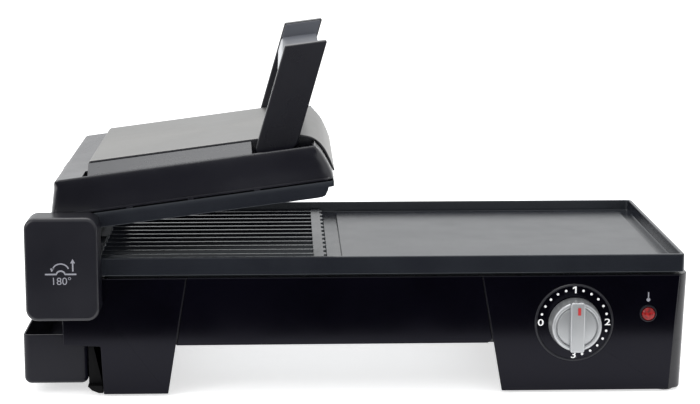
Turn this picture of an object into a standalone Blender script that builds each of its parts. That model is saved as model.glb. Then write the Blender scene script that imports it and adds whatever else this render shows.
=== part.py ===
"""A double-sided contact grill (panini press) on a raised base, with a floating lid and a drip tray.

Metres, +Z up, +X along the length toward the controls, -Y toward the user. The origin is on the table
under the middle of the machine. The lid stands as if a filled roll held it up: lifted in its floating
hinge and tilted open by LID_TILT.
"""

import math

import bmesh
import bpy
from mathutils import Matrix, Vector

GAP = 0.0003

# Base: a sheet-metal body on legs, with the cast griddle on top.
DEPTH = 0.267
HALF = DEPTH / 2
BODY_LEFT = -0.226
BODY_RIGHT = 0.2952
BODY_TOP = 0.107
LEG_BOTTOM = 0.002
ARCH_Z = 0.046
WALL = 0.002
PANEL = 0.002
CORNER_R = 0.011

# Griddle plate.
PLATE_LEFT = -0.246
PLATE_RIGHT = 0.291
PLATE_TOP = 0.1255
PLATE_BAND = 0.016
PAN_DEPTH = 0.0105
RIM = 0.0035
RIB_PITCH = 0.0185
RIB_COUNT = 13
RIB_TOP = 0.0050
RIB_START = -0.231
RIB_END = -0.037
FLAT_LEFT = -0.012
FLAT_RIGHT = 0.2755
FLAT_HALF_Y = 0.116
FLAT_RISE = 0.0022

# Floating hinge. The lid is drawn about its own axis, lying flat, and is then lifted and tilted.
AXIS_X = -0.258
AXIS_CLOSED_Z = 0.131
LID_LIFT = 0.0212
AXIS_Z = AXIS_CLOSED_Z + LID_LIFT
LID_TILT = 7.5
ROD_R = 0.005
LIFT_SPARE = 0.001

# Hinge blocks.
BLOCK_X = (-0.287, -0.2235)
BLOCK_Z = (0.0757, 0.1668)
BLOCK_DEPTH = 0.028
BLOCK_WALL = 0.003
BLOCK_R = 0.010
CARRIAGE = (0.020, 0.018, 0.018)

# Lid, in its own frame: x from the hinge axis toward the nose, z up from the axis.
LID_SHELL_Z = (0.011, 0.0425)
LID_WALL = 0.0025
LID_NOSE = ((0.2295, 0.0425), (0.2345, 0.0345), (0.2385, 0.0250), (0.2412, 0.0165), (0.2420, 0.0110))
GROOVE_Z = 0.0350
POCKET_X = (0.1745, 0.2290)
POCKET_Y = (0.1030, 0.1162)
COVER_TOP = 0.051
COVER_HALF_Y = 0.1015
COVER_LEFT = 0.0285
COVER_T = 0.0015
UPPER_LEFT = 0.012
UPPER_RIGHT = 0.2365
UPPER_LIP = 0.2418
UPPER_Z = (-0.004, 0.0096)

# Handle, in the lid's frame.
HANDLE_PIVOT = (0.1885, 0.0270)
ARM_OUT_Y = 0.1145
ARM_T = 0.010
ARM_W = 0.0375
ARM_TIP_Z = 0.130
ARM_LEAN = 23.7
GRIP_Z = (0.101, 0.116)
PIN_R = 0.004

# Drip tray.
TRAY_X = (-0.2952, -0.2385)
TRAY_Z = (0.0095, 0.0550)
TRAY_HALF_Y = 0.1255
TRAY_WALL = 0.0018
TRAY_WEB_Y = 0.122

# Controls, on the right-hand front panel.
DIAL = (0.1934, 0.0641)
DIAL_R = 0.0353
KNOB_R = 0.0234
KNOB_H = 0.0150
SHAFT_R = 0.003
LAMP = (0.2592, 0.0720)
LAMP_R = 0.0059
BEZEL_R = LAMP_R + 0.0019

# Each foot's name and place.
FEET = (("foot_front_right", 0.277, -0.1195), ("foot_front_left", -0.203, -0.088),
        ("foot_rear_right", 0.270, 0.112), ("foot_rear_left", -0.205, 0.112))


def clear_scene():
    for thing in list(bpy.data.objects):
        bpy.data.objects.remove(thing, do_unlink=True)


def collection(name):
    made = bpy.data.collections.new(name)
    bpy.context.scene.collection.children.link(made)
    return made


clear_scene()
PARTS = collection("panini_press")
CUTTERS = collection("cutters")


def material(name, colour, rough, metal=0.0):
    found = bpy.data.materials.get(name)
    if found:
        return found
    made = bpy.data.materials.new(name)
    made.use_nodes = True
    shader = made.node_tree.nodes["Principled BSDF"]
    shader.inputs["Base Color"].default_value = (*colour, 1.0)
    shader.inputs["Roughness"].default_value = rough
    shader.inputs["Metallic"].default_value = metal
    return made


GLOSS_BLACK = material("gloss_black", (0.006, 0.006, 0.009), 0.18)
SATIN_BLACK = material("satin_black", (0.030, 0.031, 0.036), 0.42)
CAST = material("cast_plate", (0.040, 0.041, 0.047), 0.45, 0.3)
STEEL = material("brushed_steel", (0.56, 0.56, 0.57), 0.32, 1.0)
ZINC = material("zinc_steel", (0.50, 0.51, 0.53), 0.45, 1.0)
ELEMENT = material("element_sheath", (0.20, 0.19, 0.18), 0.5, 1.0)
KNOB_SILVER = material("knob_silver", (0.62, 0.63, 0.65), 0.25, 0.9)
RED_LENS = material("red_lens", (0.60, 0.01, 0.01), 0.12)
RUBBER = material("rubber", (0.02, 0.02, 0.02), 0.8)
CERAMIC = material("ceramic", (0.80, 0.78, 0.72), 0.5)


def add(name, mesh, group=None):
    made = bpy.data.objects.new(name, mesh)
    (group or PARTS).objects.link(made)
    return made


def finish(obj, paint, smooth=None):
    """Gives the object its one material, and smooth shading where it is round."""
    obj.data.materials.clear()
    obj.data.materials.append(paint)
    if smooth:
        obj.data.shade_smooth()
        obj.data.set_sharp_from_angle(angle=math.radians(smooth))
    return obj


def mesh_of(obj):
    """A welded mesh of the curve or of the object with its modifiers, in place of the object."""
    graph = bpy.context.evaluated_depsgraph_get()
    mesh = bpy.data.meshes.new_from_object(obj.evaluated_get(graph))
    name = obj.name
    place = obj.matrix_world.copy()
    groups = list(obj.users_collection)
    bpy.data.objects.remove(obj, do_unlink=True)
    mesh.transform(place)
    work = bmesh.new()
    work.from_mesh(mesh)
    bmesh.ops.remove_doubles(work, verts=work.verts, dist=2e-6)
    bmesh.ops.dissolve_limit(work, angle_limit=0.0005, verts=work.verts, edges=work.edges)
    bmesh.ops.recalc_face_normals(work, faces=work.faces)
    work.to_mesh(mesh)
    work.free()
    made = bpy.data.objects.new(name, mesh)
    for group in groups:
        group.objects.link(made)
    return made


def plate_xz(name, points, y0, y1, group=None):
    """A flat outline in x and z, from y0 to y1."""
    curve = bpy.data.curves.new(name, "CURVE")
    curve.dimensions = "2D"
    curve.fill_mode = "BOTH"
    curve.extrude = abs(y1 - y0) / 2
    line = curve.splines.new("POLY")
    line.points.add(len(points) - 1)
    for spot, (x, z) in zip(line.points, points):
        spot.co = (x, z, 0, 1)
    line.use_cyclic_u = True
    made = add(name, curve, group)
    made.matrix_world = Matrix.Translation((0, (y0 + y1) / 2, 0)) @ Matrix.Rotation(math.pi / 2, 4, "X")
    bpy.context.view_layer.update()
    return mesh_of(made)


def box(name, xs, ys, zs, group=None, bevel=0.0, axis=None):
    """A block between two corners. With bevel, the edges along axis (or all of them) are rounded."""
    mesh = bpy.data.meshes.new(name)
    work = bmesh.new()
    bmesh.ops.create_cube(work, size=1.0)
    size = (xs[1] - xs[0], ys[1] - ys[0], zs[1] - zs[0])
    centre = ((xs[0] + xs[1]) / 2, (ys[0] + ys[1]) / 2, (zs[0] + zs[1]) / 2)
    bmesh.ops.scale(work, verts=work.verts, vec=size)
    bmesh.ops.translate(work, verts=work.verts, vec=centre)
    if bevel:
        edges = []
        for edge in work.edges:
            run = edge.verts[1].co - edge.verts[0].co
            if axis is None or abs(run["XYZ".index(axis)]) > 0.5 * run.length:
                edges.append(edge)
        bmesh.ops.bevel(work, geom=edges, offset=bevel, segments=3, profile=0.5, affect="EDGES")
    work.to_mesh(mesh)
    work.free()
    return add(name, mesh, group)


def cylinder(name, centre, axis, radius, length, group=None, sides=24):
    """A round bar centred on a point, along X, Y or Z."""
    mesh = bpy.data.meshes.new(name)
    work = bmesh.new()
    bmesh.ops.create_cone(work, cap_ends=True, segments=sides, radius1=radius, radius2=radius, depth=length)
    turn = {"X": Matrix.Rotation(math.pi / 2, 4, "Y"), "Y": Matrix.Rotation(math.pi / 2, 4, "X"),
            "Z": Matrix.Identity(4)}[axis]
    bmesh.ops.transform(work, matrix=Matrix.Translation(centre) @ turn, verts=work.verts)
    work.to_mesh(mesh)
    work.free()
    return add(name, mesh, group)


def turned(name, profile, centre, axis, steps=40, group=None):
    """A profile of (radius, height) pairs turned about an axis through centre; heights run along the axis."""
    mesh = bpy.data.meshes.new(name)
    work = bmesh.new()
    rim = [work.verts.new((r, 0, h)) for r, h in profile]
    for a, b in zip(rim, rim[1:]):
        work.edges.new((a, b))
    work.to_mesh(mesh)
    work.free()
    made = add(name, mesh, group)
    spin = made.modifiers.new("turn", "SCREW")
    spin.steps = steps
    spin.render_steps = steps
    spin.use_merge_vertices = True
    spin.merge_threshold = 0.00001
    turn = {"-Y": Matrix.Rotation(math.pi / 2, 4, "X"), "Y": Matrix.Rotation(-math.pi / 2, 4, "X"),
            "Z": Matrix.Identity(4)}[axis]
    made.matrix_world = Matrix.Translation(centre) @ turn
    bpy.context.view_layer.update()
    return mesh_of(made)


def tube(name, points, radius, resolution=2):
    """A bent round rod through points, with closed ends."""
    curve = bpy.data.curves.new(name, "CURVE")
    curve.dimensions = "3D"
    curve.bevel_depth = radius
    curve.bevel_resolution = resolution
    curve.use_fill_caps = True
    line = curve.splines.new("POLY")
    line.points.add(len(points) - 1)
    for spot, point in zip(line.points, points):
        spot.co = (*point, 1)
    made = add(name, curve)
    bpy.context.view_layer.update()
    return mesh_of(made)


def boolean(obj, tools, operation="DIFFERENCE"):
    """Cuts the tools from the object, or joins them to it, and keeps the result as its mesh."""
    for index, tool in enumerate(tools):
        tool.hide_render = True
        tool.display_type = "WIRE"
        step = obj.modifiers.new(f"step_{index}", "BOOLEAN")
        step.operation = operation
        step.object = tool
    bpy.context.view_layer.update()
    done = mesh_of(obj)
    for tool in tools:
        bpy.data.objects.remove(tool, do_unlink=True)
    return done


def round_edges(obj, width, segments=2, angle=40):
    """Rounds every edge sharper than the angle."""
    step = obj.modifiers.new("edge", "BEVEL")
    step.width = width
    step.segments = segments
    step.limit_method = "ANGLE"
    step.angle_limit = math.radians(angle)
    bpy.context.view_layer.update()
    return mesh_of(obj)


def empty(name, place, tilt=0, parent=None):
    """A joint: what hangs on it turns or slides about this point."""
    made = bpy.data.objects.new(name, None)
    PARTS.objects.link(made)
    made.parent = parent
    made.location = place
    made.rotation_euler = (0, math.radians(tilt), 0)
    return made


def put(obj, holder):
    """Hangs a piece, drawn in the frame of its joint, on that joint."""
    obj.parent = holder
    return obj


def hang(obj, holder):
    """Hangs a piece, drawn where it stands, on an upright joint."""
    obj.data.transform(Matrix.Translation(-holder.location))
    obj.parent = holder
    return obj


def arc(cx, cz, radius, start, end, steps):
    """Points on a circle in x and z, from one angle to another in degrees."""
    points = []
    for i in range(steps + 1):
        angle = math.radians(start + (end - start) * i / steps)
        points.append((cx + radius * math.cos(angle), cz + radius * math.sin(angle)))
    return points


def leg_outline():
    """The base's front outline: a bridge on two legs, the right one wide."""
    return [(BODY_LEFT, BODY_TOP), (BODY_RIGHT, BODY_TOP), (BODY_RIGHT - 0.004, LEG_BOTTOM),
            (0.150, LEG_BOTTOM), (0.138, ARCH_Z), (-0.182, ARCH_Z), (-0.186, LEG_BOTTOM),
            (BODY_LEFT + 0.002, LEG_BOTTOM)]


def shrink(points, by):
    """The outline moved inward by a wall thickness; the points run clockwise."""
    moved = []
    count = len(points)
    for i in range(count):
        before = Vector(points[i - 1])
        here = Vector(points[i])
        after = Vector(points[(i + 1) % count])
        d1 = (here - before).normalized()
        d2 = (after - here).normalized()
        n1 = Vector((d1.y, -d1.x))
        n2 = Vector((d2.y, -d2.x))
        share = (n1 + n2) / (1 + n1.dot(n2))
        moved.append(tuple(here + share * by))
    return moved


def make_housing():
    """One folded shell: four walls, a floor, four hollow legs and an inward flange under the griddle."""
    front = -HALF + PANEL + GAP
    outline = leg_outline()
    shell = plate_xz("base_housing", outline, front, HALF)
    corners = box("c1", (0.26, 0.32), (-0.2, 0.2), (-0.01, 0.12), CUTTERS)
    rounder = box("c2", (0.1, BODY_RIGHT), (front, HALF), (-0.03, 0.14), CUTTERS, CORNER_R, "Z")
    corners = boolean(corners, [rounder])
    inner = plate_xz("inner", shrink(outline, WALL), front + WALL, HALF - WALL, CUTTERS)
    lift = box("c3", (BODY_LEFT + 0.014, BODY_RIGHT - 0.014), (front + 0.012, HALF - 0.014),
               (0.09, 0.12), CUTTERS)
    tunnel = box("c4", (-0.4, 0.4), (-0.0700, 0.0800), (-0.05, ARCH_Z), CUTTERS)
    tunnel_in = box("c5", (-0.4, 0.4), (-0.0700 - WALL, 0.0800 + WALL), (-0.05, ARCH_Z + WALL), CUTTERS)
    inner = boolean(inner, [tunnel_in])
    vent = box("c6", (-0.150, 0.100), (-0.060, 0.070), (0.03, 0.06), CUTTERS)
    drain = box("c7", (-0.24, -0.22), (-0.021, 0.021), (0.070, 0.112), CUTTERS)
    shell = boolean(shell, [corners, tunnel, inner, lift, vent, drain])
    dial = cylinder("c8", (DIAL[0], -HALF, DIAL[1]), "Y", 0.009, 0.03, CUTTERS)
    lamp = cylinder("c9", (LAMP[0], -HALF, LAMP[1]), "Y", LAMP_R + 0.0013, 0.03, CUTTERS)
    inlet = cylinder("c10", (0.200, HALF, 0.080), "Y", 0.0082, 0.02, CUTTERS)
    shell = boolean(shell, [dial, lamp, inlet])
    ear = box("ear", (-0.2590, BODY_LEFT + 0.001), (HALF - WALL - 0.0004, HALF - 0.0004), (0.047, 0.089),
              CUTTERS)
    shell = boolean(shell, [ear], "UNION")
    finish(shell, GLOSS_BLACK, 35)


def make_front_panels():
    """Three gloss panels on the front: a stepped one on the left leg, a plain one, and the control panel."""
    y0 = -HALF
    y1 = -HALF + PANEL
    left = plate_xz("left_leg_panel", [(-0.2460, BODY_TOP), (-0.1497, BODY_TOP), (-0.1672, LEG_BOTTOM),
                                       (-0.2242, LEG_BOTTOM), (-0.2262, 0.0455), (-0.2590, 0.0470),
                                       (-0.2590, 0.0890), (-0.2460, 0.0890)], y0, y1)
    finish(left, GLOSS_BLACK)
    centre = plate_xz("centre_front_panel", [(-0.1491, BODY_TOP), (0.1109, BODY_TOP), (0.1209, 0.0500),
                                             (0.1170, ARCH_Z), (-0.1594, ARCH_Z)], y0 + 0.0006, y1)
    finish(centre, GLOSS_BLACK)
    right = plate_xz("control_panel", [(0.1115, BODY_TOP), (0.2870, BODY_TOP), (0.2842, 0.0700),
                                       (0.2795, LEG_BOTTOM), (0.1298, LEG_BOTTOM)], y0, y1)
    dial = cylinder("c0", (DIAL[0], -HALF, DIAL[1]), "Y", 0.0060, 0.03, CUTTERS)
    lamp = cylinder("c1", (LAMP[0], -HALF, LAMP[1]), "Y", LAMP_R + 0.0004, 0.03, CUTTERS)
    right = boolean(right, [dial, lamp])
    finish(right, GLOSS_BLACK)


def make_griddle():
    """The lower casting: a pan with ribs at the left, a raised flat on the right and a drain slot."""
    low = PLATE_TOP - PLATE_BAND
    floor = PLATE_TOP - PAN_DEPTH
    body = box("griddle_plate", (PLATE_LEFT, PLATE_RIGHT), (-HALF, HALF), (low, PLATE_TOP), None, 0.004, "Z")
    pan = box("c0", (PLATE_LEFT + RIM, PLATE_RIGHT - RIM), (-HALF + RIM, HALF - RIM),
              (floor, PLATE_TOP + 0.01), CUTTERS, 0.003, "Z")
    under = box("c1", (BODY_LEFT + 0.010, PLATE_RIGHT - 0.018), (-HALF + 0.020, HALF - 0.020),
                (low - 0.01, low + 0.001), CUTTERS)
    drain = box("c2", (-0.2385, -0.2325), (-0.016, 0.016), (0.10, 0.13), CUTTERS)
    body = boolean(body, [pan, under, drain])
    adds = [box("r_flat", (FLAT_LEFT, FLAT_RIGHT), (-FLAT_HALF_Y, FLAT_HALF_Y),
                (floor - 0.001, floor + FLAT_RISE), CUTTERS, 0.004, "Z"),
            box("r_land", (RIB_END, RIB_END + 0.009), (-0.1215, 0.1215),
                (floor - 0.001, floor + RIB_TOP), CUTTERS)]
    for i in range(RIB_COUNT):
        y = (i - (RIB_COUNT - 1) / 2) * RIB_PITCH
        rib = make_rib(f"rib{i}", RIB_START, RIB_END + 0.0005, y, floor - 0.001, RIB_TOP + 0.001)
        adds.append(rib)
    skirt = box("r_skirt", (BODY_LEFT + 0.002, PLATE_RIGHT - 0.006), (-HALF + 0.006, HALF - 0.006),
                (BODY_TOP + GAP, low + 0.001), CUTTERS)
    hollow = box("h_skirt", (BODY_LEFT + 0.010, PLATE_RIGHT - 0.018), (-HALF + 0.020, HALF - 0.020),
                 (BODY_TOP - 0.01, low + 0.01), CUTTERS)
    adds.append(boolean(skirt, [hollow]))
    body = boolean(body, adds, "UNION")
    finish(body, CAST)


def make_rib(name, x0, x1, y, z, height, group=None):
    """A rib with sloping sides, from x0 to x1, standing on z (or hanging from it when height is negative)."""
    base = 0.0042
    tip = 0.0020
    mesh = bpy.data.meshes.new(name)
    work = bmesh.new()
    bmesh.ops.create_cube(work, size=1.0)
    for vert in work.verts:
        width = tip if vert.co.z > 0 else base
        vert.co = (x0 if vert.co.x < 0 else x1, y + width * (1 if vert.co.y > 0 else -1),
                   z + height if vert.co.z > 0 else z)
    bmesh.ops.recalc_face_normals(work, faces=work.faces)
    work.to_mesh(mesh)
    work.free()
    return add(name, mesh, group or CUTTERS)


def hairpin(x0, x1, half_y, z):
    """A flat hairpin path: out along one side, round the end and back, with both ends at x1."""
    points = [(x1, -half_y, z)]
    turn = half_y
    for x, z1 in arc(0, 0, turn, -90, -270, 12):
        points.append((x0 + turn + x, z1, z))
    points.append((x1, half_y, z))
    return points


def make_lower_heater():
    """Two hairpin elements under the casting, each on a strap, over a bright heat shield."""
    z = PLATE_TOP - PLATE_BAND - 0.0058
    for name, x0, x1 in (("lower_element_left", -0.200, 0.020), ("lower_element_right", 0.040, 0.260)):
        rod = tube(name, hairpin(x0, x1, 0.070, z), 0.0040)
        finish(rod, ELEMENT, 40)
    for name, x in (("element_strap_left", -0.080), ("element_strap_right", 0.160)):
        strap = box(name, (x - 0.008, x + 0.008), (-0.095, 0.095), (z - 0.0063, z - 0.0043))
        finish(strap, ZINC)
    shield = box("lower_heat_shield", (-0.208, 0.272), (-0.112, 0.112), (0.0905, 0.0915))
    finish(shield, ZINC)


def make_bottom_cover():
    """The service cover under the body, over the opening in its floor, on four screws."""
    cover = box("bottom_cover", (-0.158, 0.108), (-0.066, 0.076), (ARCH_Z - 0.0015 - GAP, ARCH_Z - GAP),
                None, 0.006, "Z")
    finish(cover, ZINC)


def make_feet():
    """A turned rubber foot under each leg."""
    profile = [(0, LEG_BOTTOM - GAP), (0.0090, LEG_BOTTOM - GAP), (0.0085, 0.0), (0, 0.0)]
    for name, x, y in FEET:
        foot = turned(name, profile, (x, y, 0), "Z", 24)
        finish(foot, RUBBER, 40)


def make_drain_chute():
    """A sheet chute that carries the drain's drips out over the tray."""
    outline = [(-0.2285, 0.1010), (-0.2395, 0.1010), (-0.2485, 0.0860), (-0.2485, 0.0700), (-0.2470, 0.0700),
               (-0.2385, 0.0830), (-0.2285, 0.0880)]
    body = plate_xz("drain_chute", outline, -0.0200, 0.0200)
    inside = plate_xz("c0", [(-0.2300, 0.1100), (-0.2385, 0.1100), (-0.2473, 0.0860), (-0.2473, 0.0600),
                             (-0.2460, 0.0600), (-0.2388, 0.0845), (-0.2300, 0.0895)], -0.0188, 0.0188, CUTTERS)
    body = boolean(body, [inside])
    finish(body, ZINC)


def make_tray():
    """An open box with rounded corners that slides out to the left on its guides."""
    high = TRAY_Z[1] + 0.02
    body = box("drip_tray", TRAY_X, (-TRAY_HALF_Y, TRAY_HALF_Y), (TRAY_Z[0], high), None, 0.006)
    hollow = box("c0", (TRAY_X[0] + TRAY_WALL, TRAY_X[1] - TRAY_WALL),
                 (-TRAY_HALF_Y + TRAY_WALL, TRAY_HALF_Y - TRAY_WALL), (TRAY_Z[0] + TRAY_WALL, high + 0.01),
                 CUTTERS, 0.0042)
    above = box("c1", (-0.31, -0.22), (-0.14, 0.14), (TRAY_Z[1], high + 0.02), CUTTERS)
    body = boolean(body, [hollow, above])
    slide = empty("tray_slide", (TRAY_X[0], 0, TRAY_Z[0]))
    finish(hang(body, slide), SATIN_BLACK, 35)


def make_tray_guide():
    """The ledge on the left leg that the tray's inner edge slides on, and the web that stands on it."""
    for name, side in (("tray_guide_front", -1), ("tray_guide_rear", 1)):
        ys = sorted((side * 0.072, side * (HALF - 0.004)))
        profile = [(-0.2395, 0.0090), (-0.2250 - GAP, 0.0090), (-0.2246 - GAP, 0.0020), (-0.2290, 0.0020),
                   (-0.2350, 0.0045)]
        ledge = plate_xz(name, profile, *ys)
        web = sorted((side * TRAY_WEB_Y, side * (TRAY_WEB_Y - 0.002)))
        ledge = boolean(ledge, [box("web", (-0.2378, -0.2256), web, (0.0080, 0.0450), CUTTERS)], "UNION")
        finish(ledge, SATIN_BLACK)


def make_controls():
    """Thermostat behind the panel, its shaft and knob, the dial ring, and the pilot lamp."""
    back = -HALF + PANEL + GAP + WALL
    x, z = DIAL
    body = box("thermostat_body", (x - 0.017, x + 0.017), (back + GAP, back + 0.030), (z - 0.017, z + 0.017),
               None, 0.002)
    hole = cylinder("c0", (x, back, z), "Y", SHAFT_R + GAP, 0.024, CUTTERS)
    finish(boolean(body, [hole]), CERAMIC)
    ring = turned("dial_ring", [(DIAL_R - 0.0030, GAP), (DIAL_R - 0.0026, 0.0012), (DIAL_R - 0.0004, 0.0012),
                                (DIAL_R, GAP), (DIAL_R - 0.0030, GAP)], (x, -HALF, z), "-Y", 48)
    finish(ring, SATIN_BLACK, 40)
    front = -HALF - 0.0018
    profile = [(0.0, -KNOB_H), (KNOB_R - 0.0062, -KNOB_H), (KNOB_R - 0.0050, -KNOB_H - 0.0010),
               (KNOB_R - 0.0028, -KNOB_H - 0.0010), (KNOB_R - 0.0012, -KNOB_H + 0.0010), (KNOB_R, 0.0),
               (KNOB_R - 0.0030, 0.0), (KNOB_R - 0.0040, -KNOB_H + 0.0035), (0.0062, -KNOB_H + 0.0035),
               (0.0062, 0.0), (0.0, 0.0)]
    flipped = [(r, -h) for r, h in profile]
    knob = turned("control_knob", flipped, (x, front, z), "-Y", 40)
    bar = box("b0", (x - 0.0064, x + 0.0064), (front - KNOB_H - 0.0060, front - KNOB_H + 0.0020),
              (z - 0.0222, z + 0.0232), CUTTERS, 0.0015)
    knob = boolean(knob, [bar], "UNION")
    bore = cylinder("c1", (x, front, z), "Y", SHAFT_R + GAP, 0.019, CUTTERS)
    knob = boolean(knob, [bore])
    spindle = empty("knob_axis", (x, -HALF, z))
    finish(hang(knob, spindle), KNOB_SILVER, 35)
    shaft = cylinder("knob_shaft", (x, (front - 0.0090 + back + 0.0110) / 2, z), "Y", SHAFT_R,
                     (back + 0.0110) - (front - 0.0090))
    finish(hang(shaft, spindle), ZINC, 40)
    index = box("knob_index", (x - 0.0002, x + 0.0024),
                (front - KNOB_H - 0.0070, front - KNOB_H - 0.0060 - GAP), (z + 0.0120, z + 0.0186))
    finish(hang(index, spindle), RED_LENS)
    x, z = LAMP
    bezel = turned("lamp_bezel", [(LAMP_R + GAP, GAP), (LAMP_R + GAP, 0.0016), (LAMP_R + 0.0008, 0.0022),
                                  (BEZEL_R - 0.0006, 0.0014), (BEZEL_R, GAP), (LAMP_R + GAP, GAP)][::-1],
                   (x, -HALF, z), "-Y", 28)
    finish(bezel, SATIN_BLACK, 40)
    lens = turned("lamp_lens", [(0, -0.0120), (LAMP_R, -0.0120), (LAMP_R, 0.0020), (LAMP_R * 0.8, 0.0034),
                                (LAMP_R * 0.45, 0.0042), (0, 0.0045)][::-1], (x, -HALF, z), "-Y", 24)
    finish(lens, RED_LENS, 40)
    lamp = cylinder("lamp_holder", (x, -HALF + 0.0125 + 0.0055 + GAP, z), "Y", LAMP_R + GAP, 0.011)
    finish(lamp, CERAMIC, 40)


def make_wiring():
    """The terminal block inside the right leg and the inlet bush in the back wall."""
    block = box("terminal_block", (0.186, 0.214), (0.070, 0.092), (0.0480 + GAP, 0.0620), None, 0.001)
    finish(block, CERAMIC)
    bush = turned("cable_inlet", [(0.0035, -0.008), (0.0078, -0.008), (0.0078, GAP), (0.0115, GAP),
                                  (0.0115, 0.0060), (0.0080, 0.0140), (0.0035, 0.0140), (0.0035, -0.008)][::-1],
                  (0.200, HALF, 0.080), "Y", 24)
    finish(bush, SATIN_BLACK, 40)


def hinge_side(side):
    """The y of the inner face of the hinge block at the front (-1) or the rear (1)."""
    return side * (HALF + GAP)


def make_hinge_block(name, side):
    """A moulded cup that hides the lift slide, with two guide ribs inside and a rounded face."""
    inner = hinge_side(side)
    outer = side * (HALF + BLOCK_DEPTH)
    ys = sorted((inner, outer))
    body = box(name, BLOCK_X, ys, BLOCK_Z, None, BLOCK_R, "Y")
    body = round_outer(body, outer, 0.003)
    inside = sorted((inner - side * 0.001, outer - side * 0.0045))
    hollow = box("c0", (BLOCK_X[0] + BLOCK_WALL, BLOCK_X[1] - BLOCK_WALL), inside,
                 (BLOCK_Z[0] + BLOCK_WALL, BLOCK_Z[1] - BLOCK_WALL), CUTTERS, BLOCK_R - BLOCK_WALL, "Y")
    body = boolean(body, [hollow])
    guides = []
    reach = sorted((inner + side * 0.0025, outer - side * 0.0040))
    for x in (AXIS_X - CARRIAGE[0] / 2 - GAP - 0.0025, AXIS_X + CARRIAGE[0] / 2 + GAP):
        guides.append(box("g", (x, x + 0.0025), reach, (BLOCK_Z[0] + 0.001, BLOCK_Z[1] - 0.001), CUTTERS))
    body = boolean(body, guides, "UNION")
    finish(body, SATIN_BLACK, 35)


def round_outer(obj, y, width):
    """Rounds the edges of the face at y."""
    work = bmesh.new()
    work.from_mesh(obj.data)
    edges = [e for e in work.edges if all(abs(v.co.y - y) < 1e-6 for v in e.verts)]
    bmesh.ops.bevel(work, geom=edges, offset=width, segments=2, profile=0.5, affect="EDGES")
    work.to_mesh(obj.data)
    work.free()
    return obj


def make_slot_plate(name, side):
    """The steel plate that closes the cup, with the upright slot the rod floats in."""
    inner = hinge_side(side)
    ys = sorted((inner + side * 0.0002, inner + side * 0.0020))
    fit = BLOCK_WALL + GAP
    body = box(name, (BLOCK_X[0] + fit, BLOCK_X[1] - fit), ys, (BLOCK_Z[0] + fit, BLOCK_Z[1] - fit),
               None, BLOCK_R - BLOCK_WALL, "Y")
    half = ROD_R + 0.0006
    slot = box("c0", (AXIS_X - half, AXIS_X + half), (ys[0] - 0.01, ys[1] + 0.01),
               (AXIS_CLOSED_Z - half, AXIS_Z + LIFT_SPARE + half), CUTTERS)
    finish(boolean(body, [slot]), ZINC)


def make_carriages():
    """A sliding block at each end of the hinge rod; the rod joins them, so they rise together."""
    lift = empty("hinge_lift", (AXIS_X, 0, AXIS_Z))
    long, wide, tall = CARRIAGE
    for name, side in (("hinge_carriage_front", -1), ("hinge_carriage_rear", 1)):
        start = hinge_side(side) + side * 0.0026
        ys = sorted((start, start + side * wide))
        body = box(name, (AXIS_X - long / 2, AXIS_X + long / 2), ys,
                   (AXIS_Z - tall / 2, AXIS_Z + tall / 2), None, 0.0012)
        bore = cylinder("c0", (AXIS_X, start, AXIS_Z), "Y", ROD_R + 0.0002, 0.024, CUTTERS)
        finish(hang(boolean(body, [bore]), lift), ZINC)
    rod = cylinder("hinge_rod", (AXIS_X, 0, AXIS_Z), "Y", ROD_R, 2 * (HALF + 0.0140))
    finish(hang(rod, lift), ZINC, 40)


def lid_outline():
    """The lid's side view, clockwise from the top left, with the nose at the right."""
    low, high = LID_SHELL_Z
    return [(-0.0020, high - 0.0020), (0.0004, high), *LID_NOSE, (-0.0080, low)]


def make_lid_shell(pivot):
    """The lid's moulded shell: walls, nose, a groove along each side and a pocket for each handle arm."""
    top = LID_SHELL_Z[1]
    outline = lid_outline()
    body = plate_xz("lid_shell", outline, -HALF, HALF)
    rounder = box("c0", (-0.0085, 0.5), (-HALF, HALF), (-0.1, 0.1), CUTTERS, 0.010, "Z")
    frame = box("c1", (-0.05, 0.012), (-0.2, 0.2), (-0.05, 0.09), CUTTERS)
    frame = boolean(frame, [rounder])
    roof = GROOVE_Z - LID_WALL
    hollow = plate_xz("c2", [(-0.0100, -0.0100), (0.0002, roof), (0.2320, roof), (0.2385, 0.0130),
                             (0.2385, -0.0100)], -HALF + LID_WALL, HALF - LID_WALL, CUTTERS)
    middle = box("c3", (0.0300, 0.2240), (-0.0970, 0.0970), (roof - 0.001, top - LID_WALL), CUTTERS)
    cuts = [frame, hollow, middle]
    for side in (-1, 1):
        pocket = sorted((side * POCKET_Y[0], side * POCKET_Y[1]))
        cuts.append(box("c4", POCKET_X, pocket, (roof - 0.0010, 0.0600), CUTTERS))
        groove = sorted((side * COVER_HALF_Y, side * (HALF - 0.0030)))
        cuts.append(box("c5", (0.0255, 0.2260), groove, (GROOVE_Z, 0.0600), CUTTERS))
    body = boolean(body, cuts)
    cheek = [(POCKET_X[0], GROOVE_Z - 0.0010), (POCKET_X[0], 0.0490), (0.2140, 0.0486), (0.2250, 0.0452),
             (0.2262, 0.0440), (0.2262, GROOVE_Z - 0.0010)]
    cheeks = []
    for side in (-1, 1):
        ys = sorted((side * (COVER_HALF_Y + GAP), side * POCKET_Y[0]))
        cheeks.append(plate_xz("cheek", cheek, *ys, CUTTERS))
    body = boolean(body, cheeks, "UNION")
    finish(put(body, pivot), SATIN_BLACK, 35)


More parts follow.
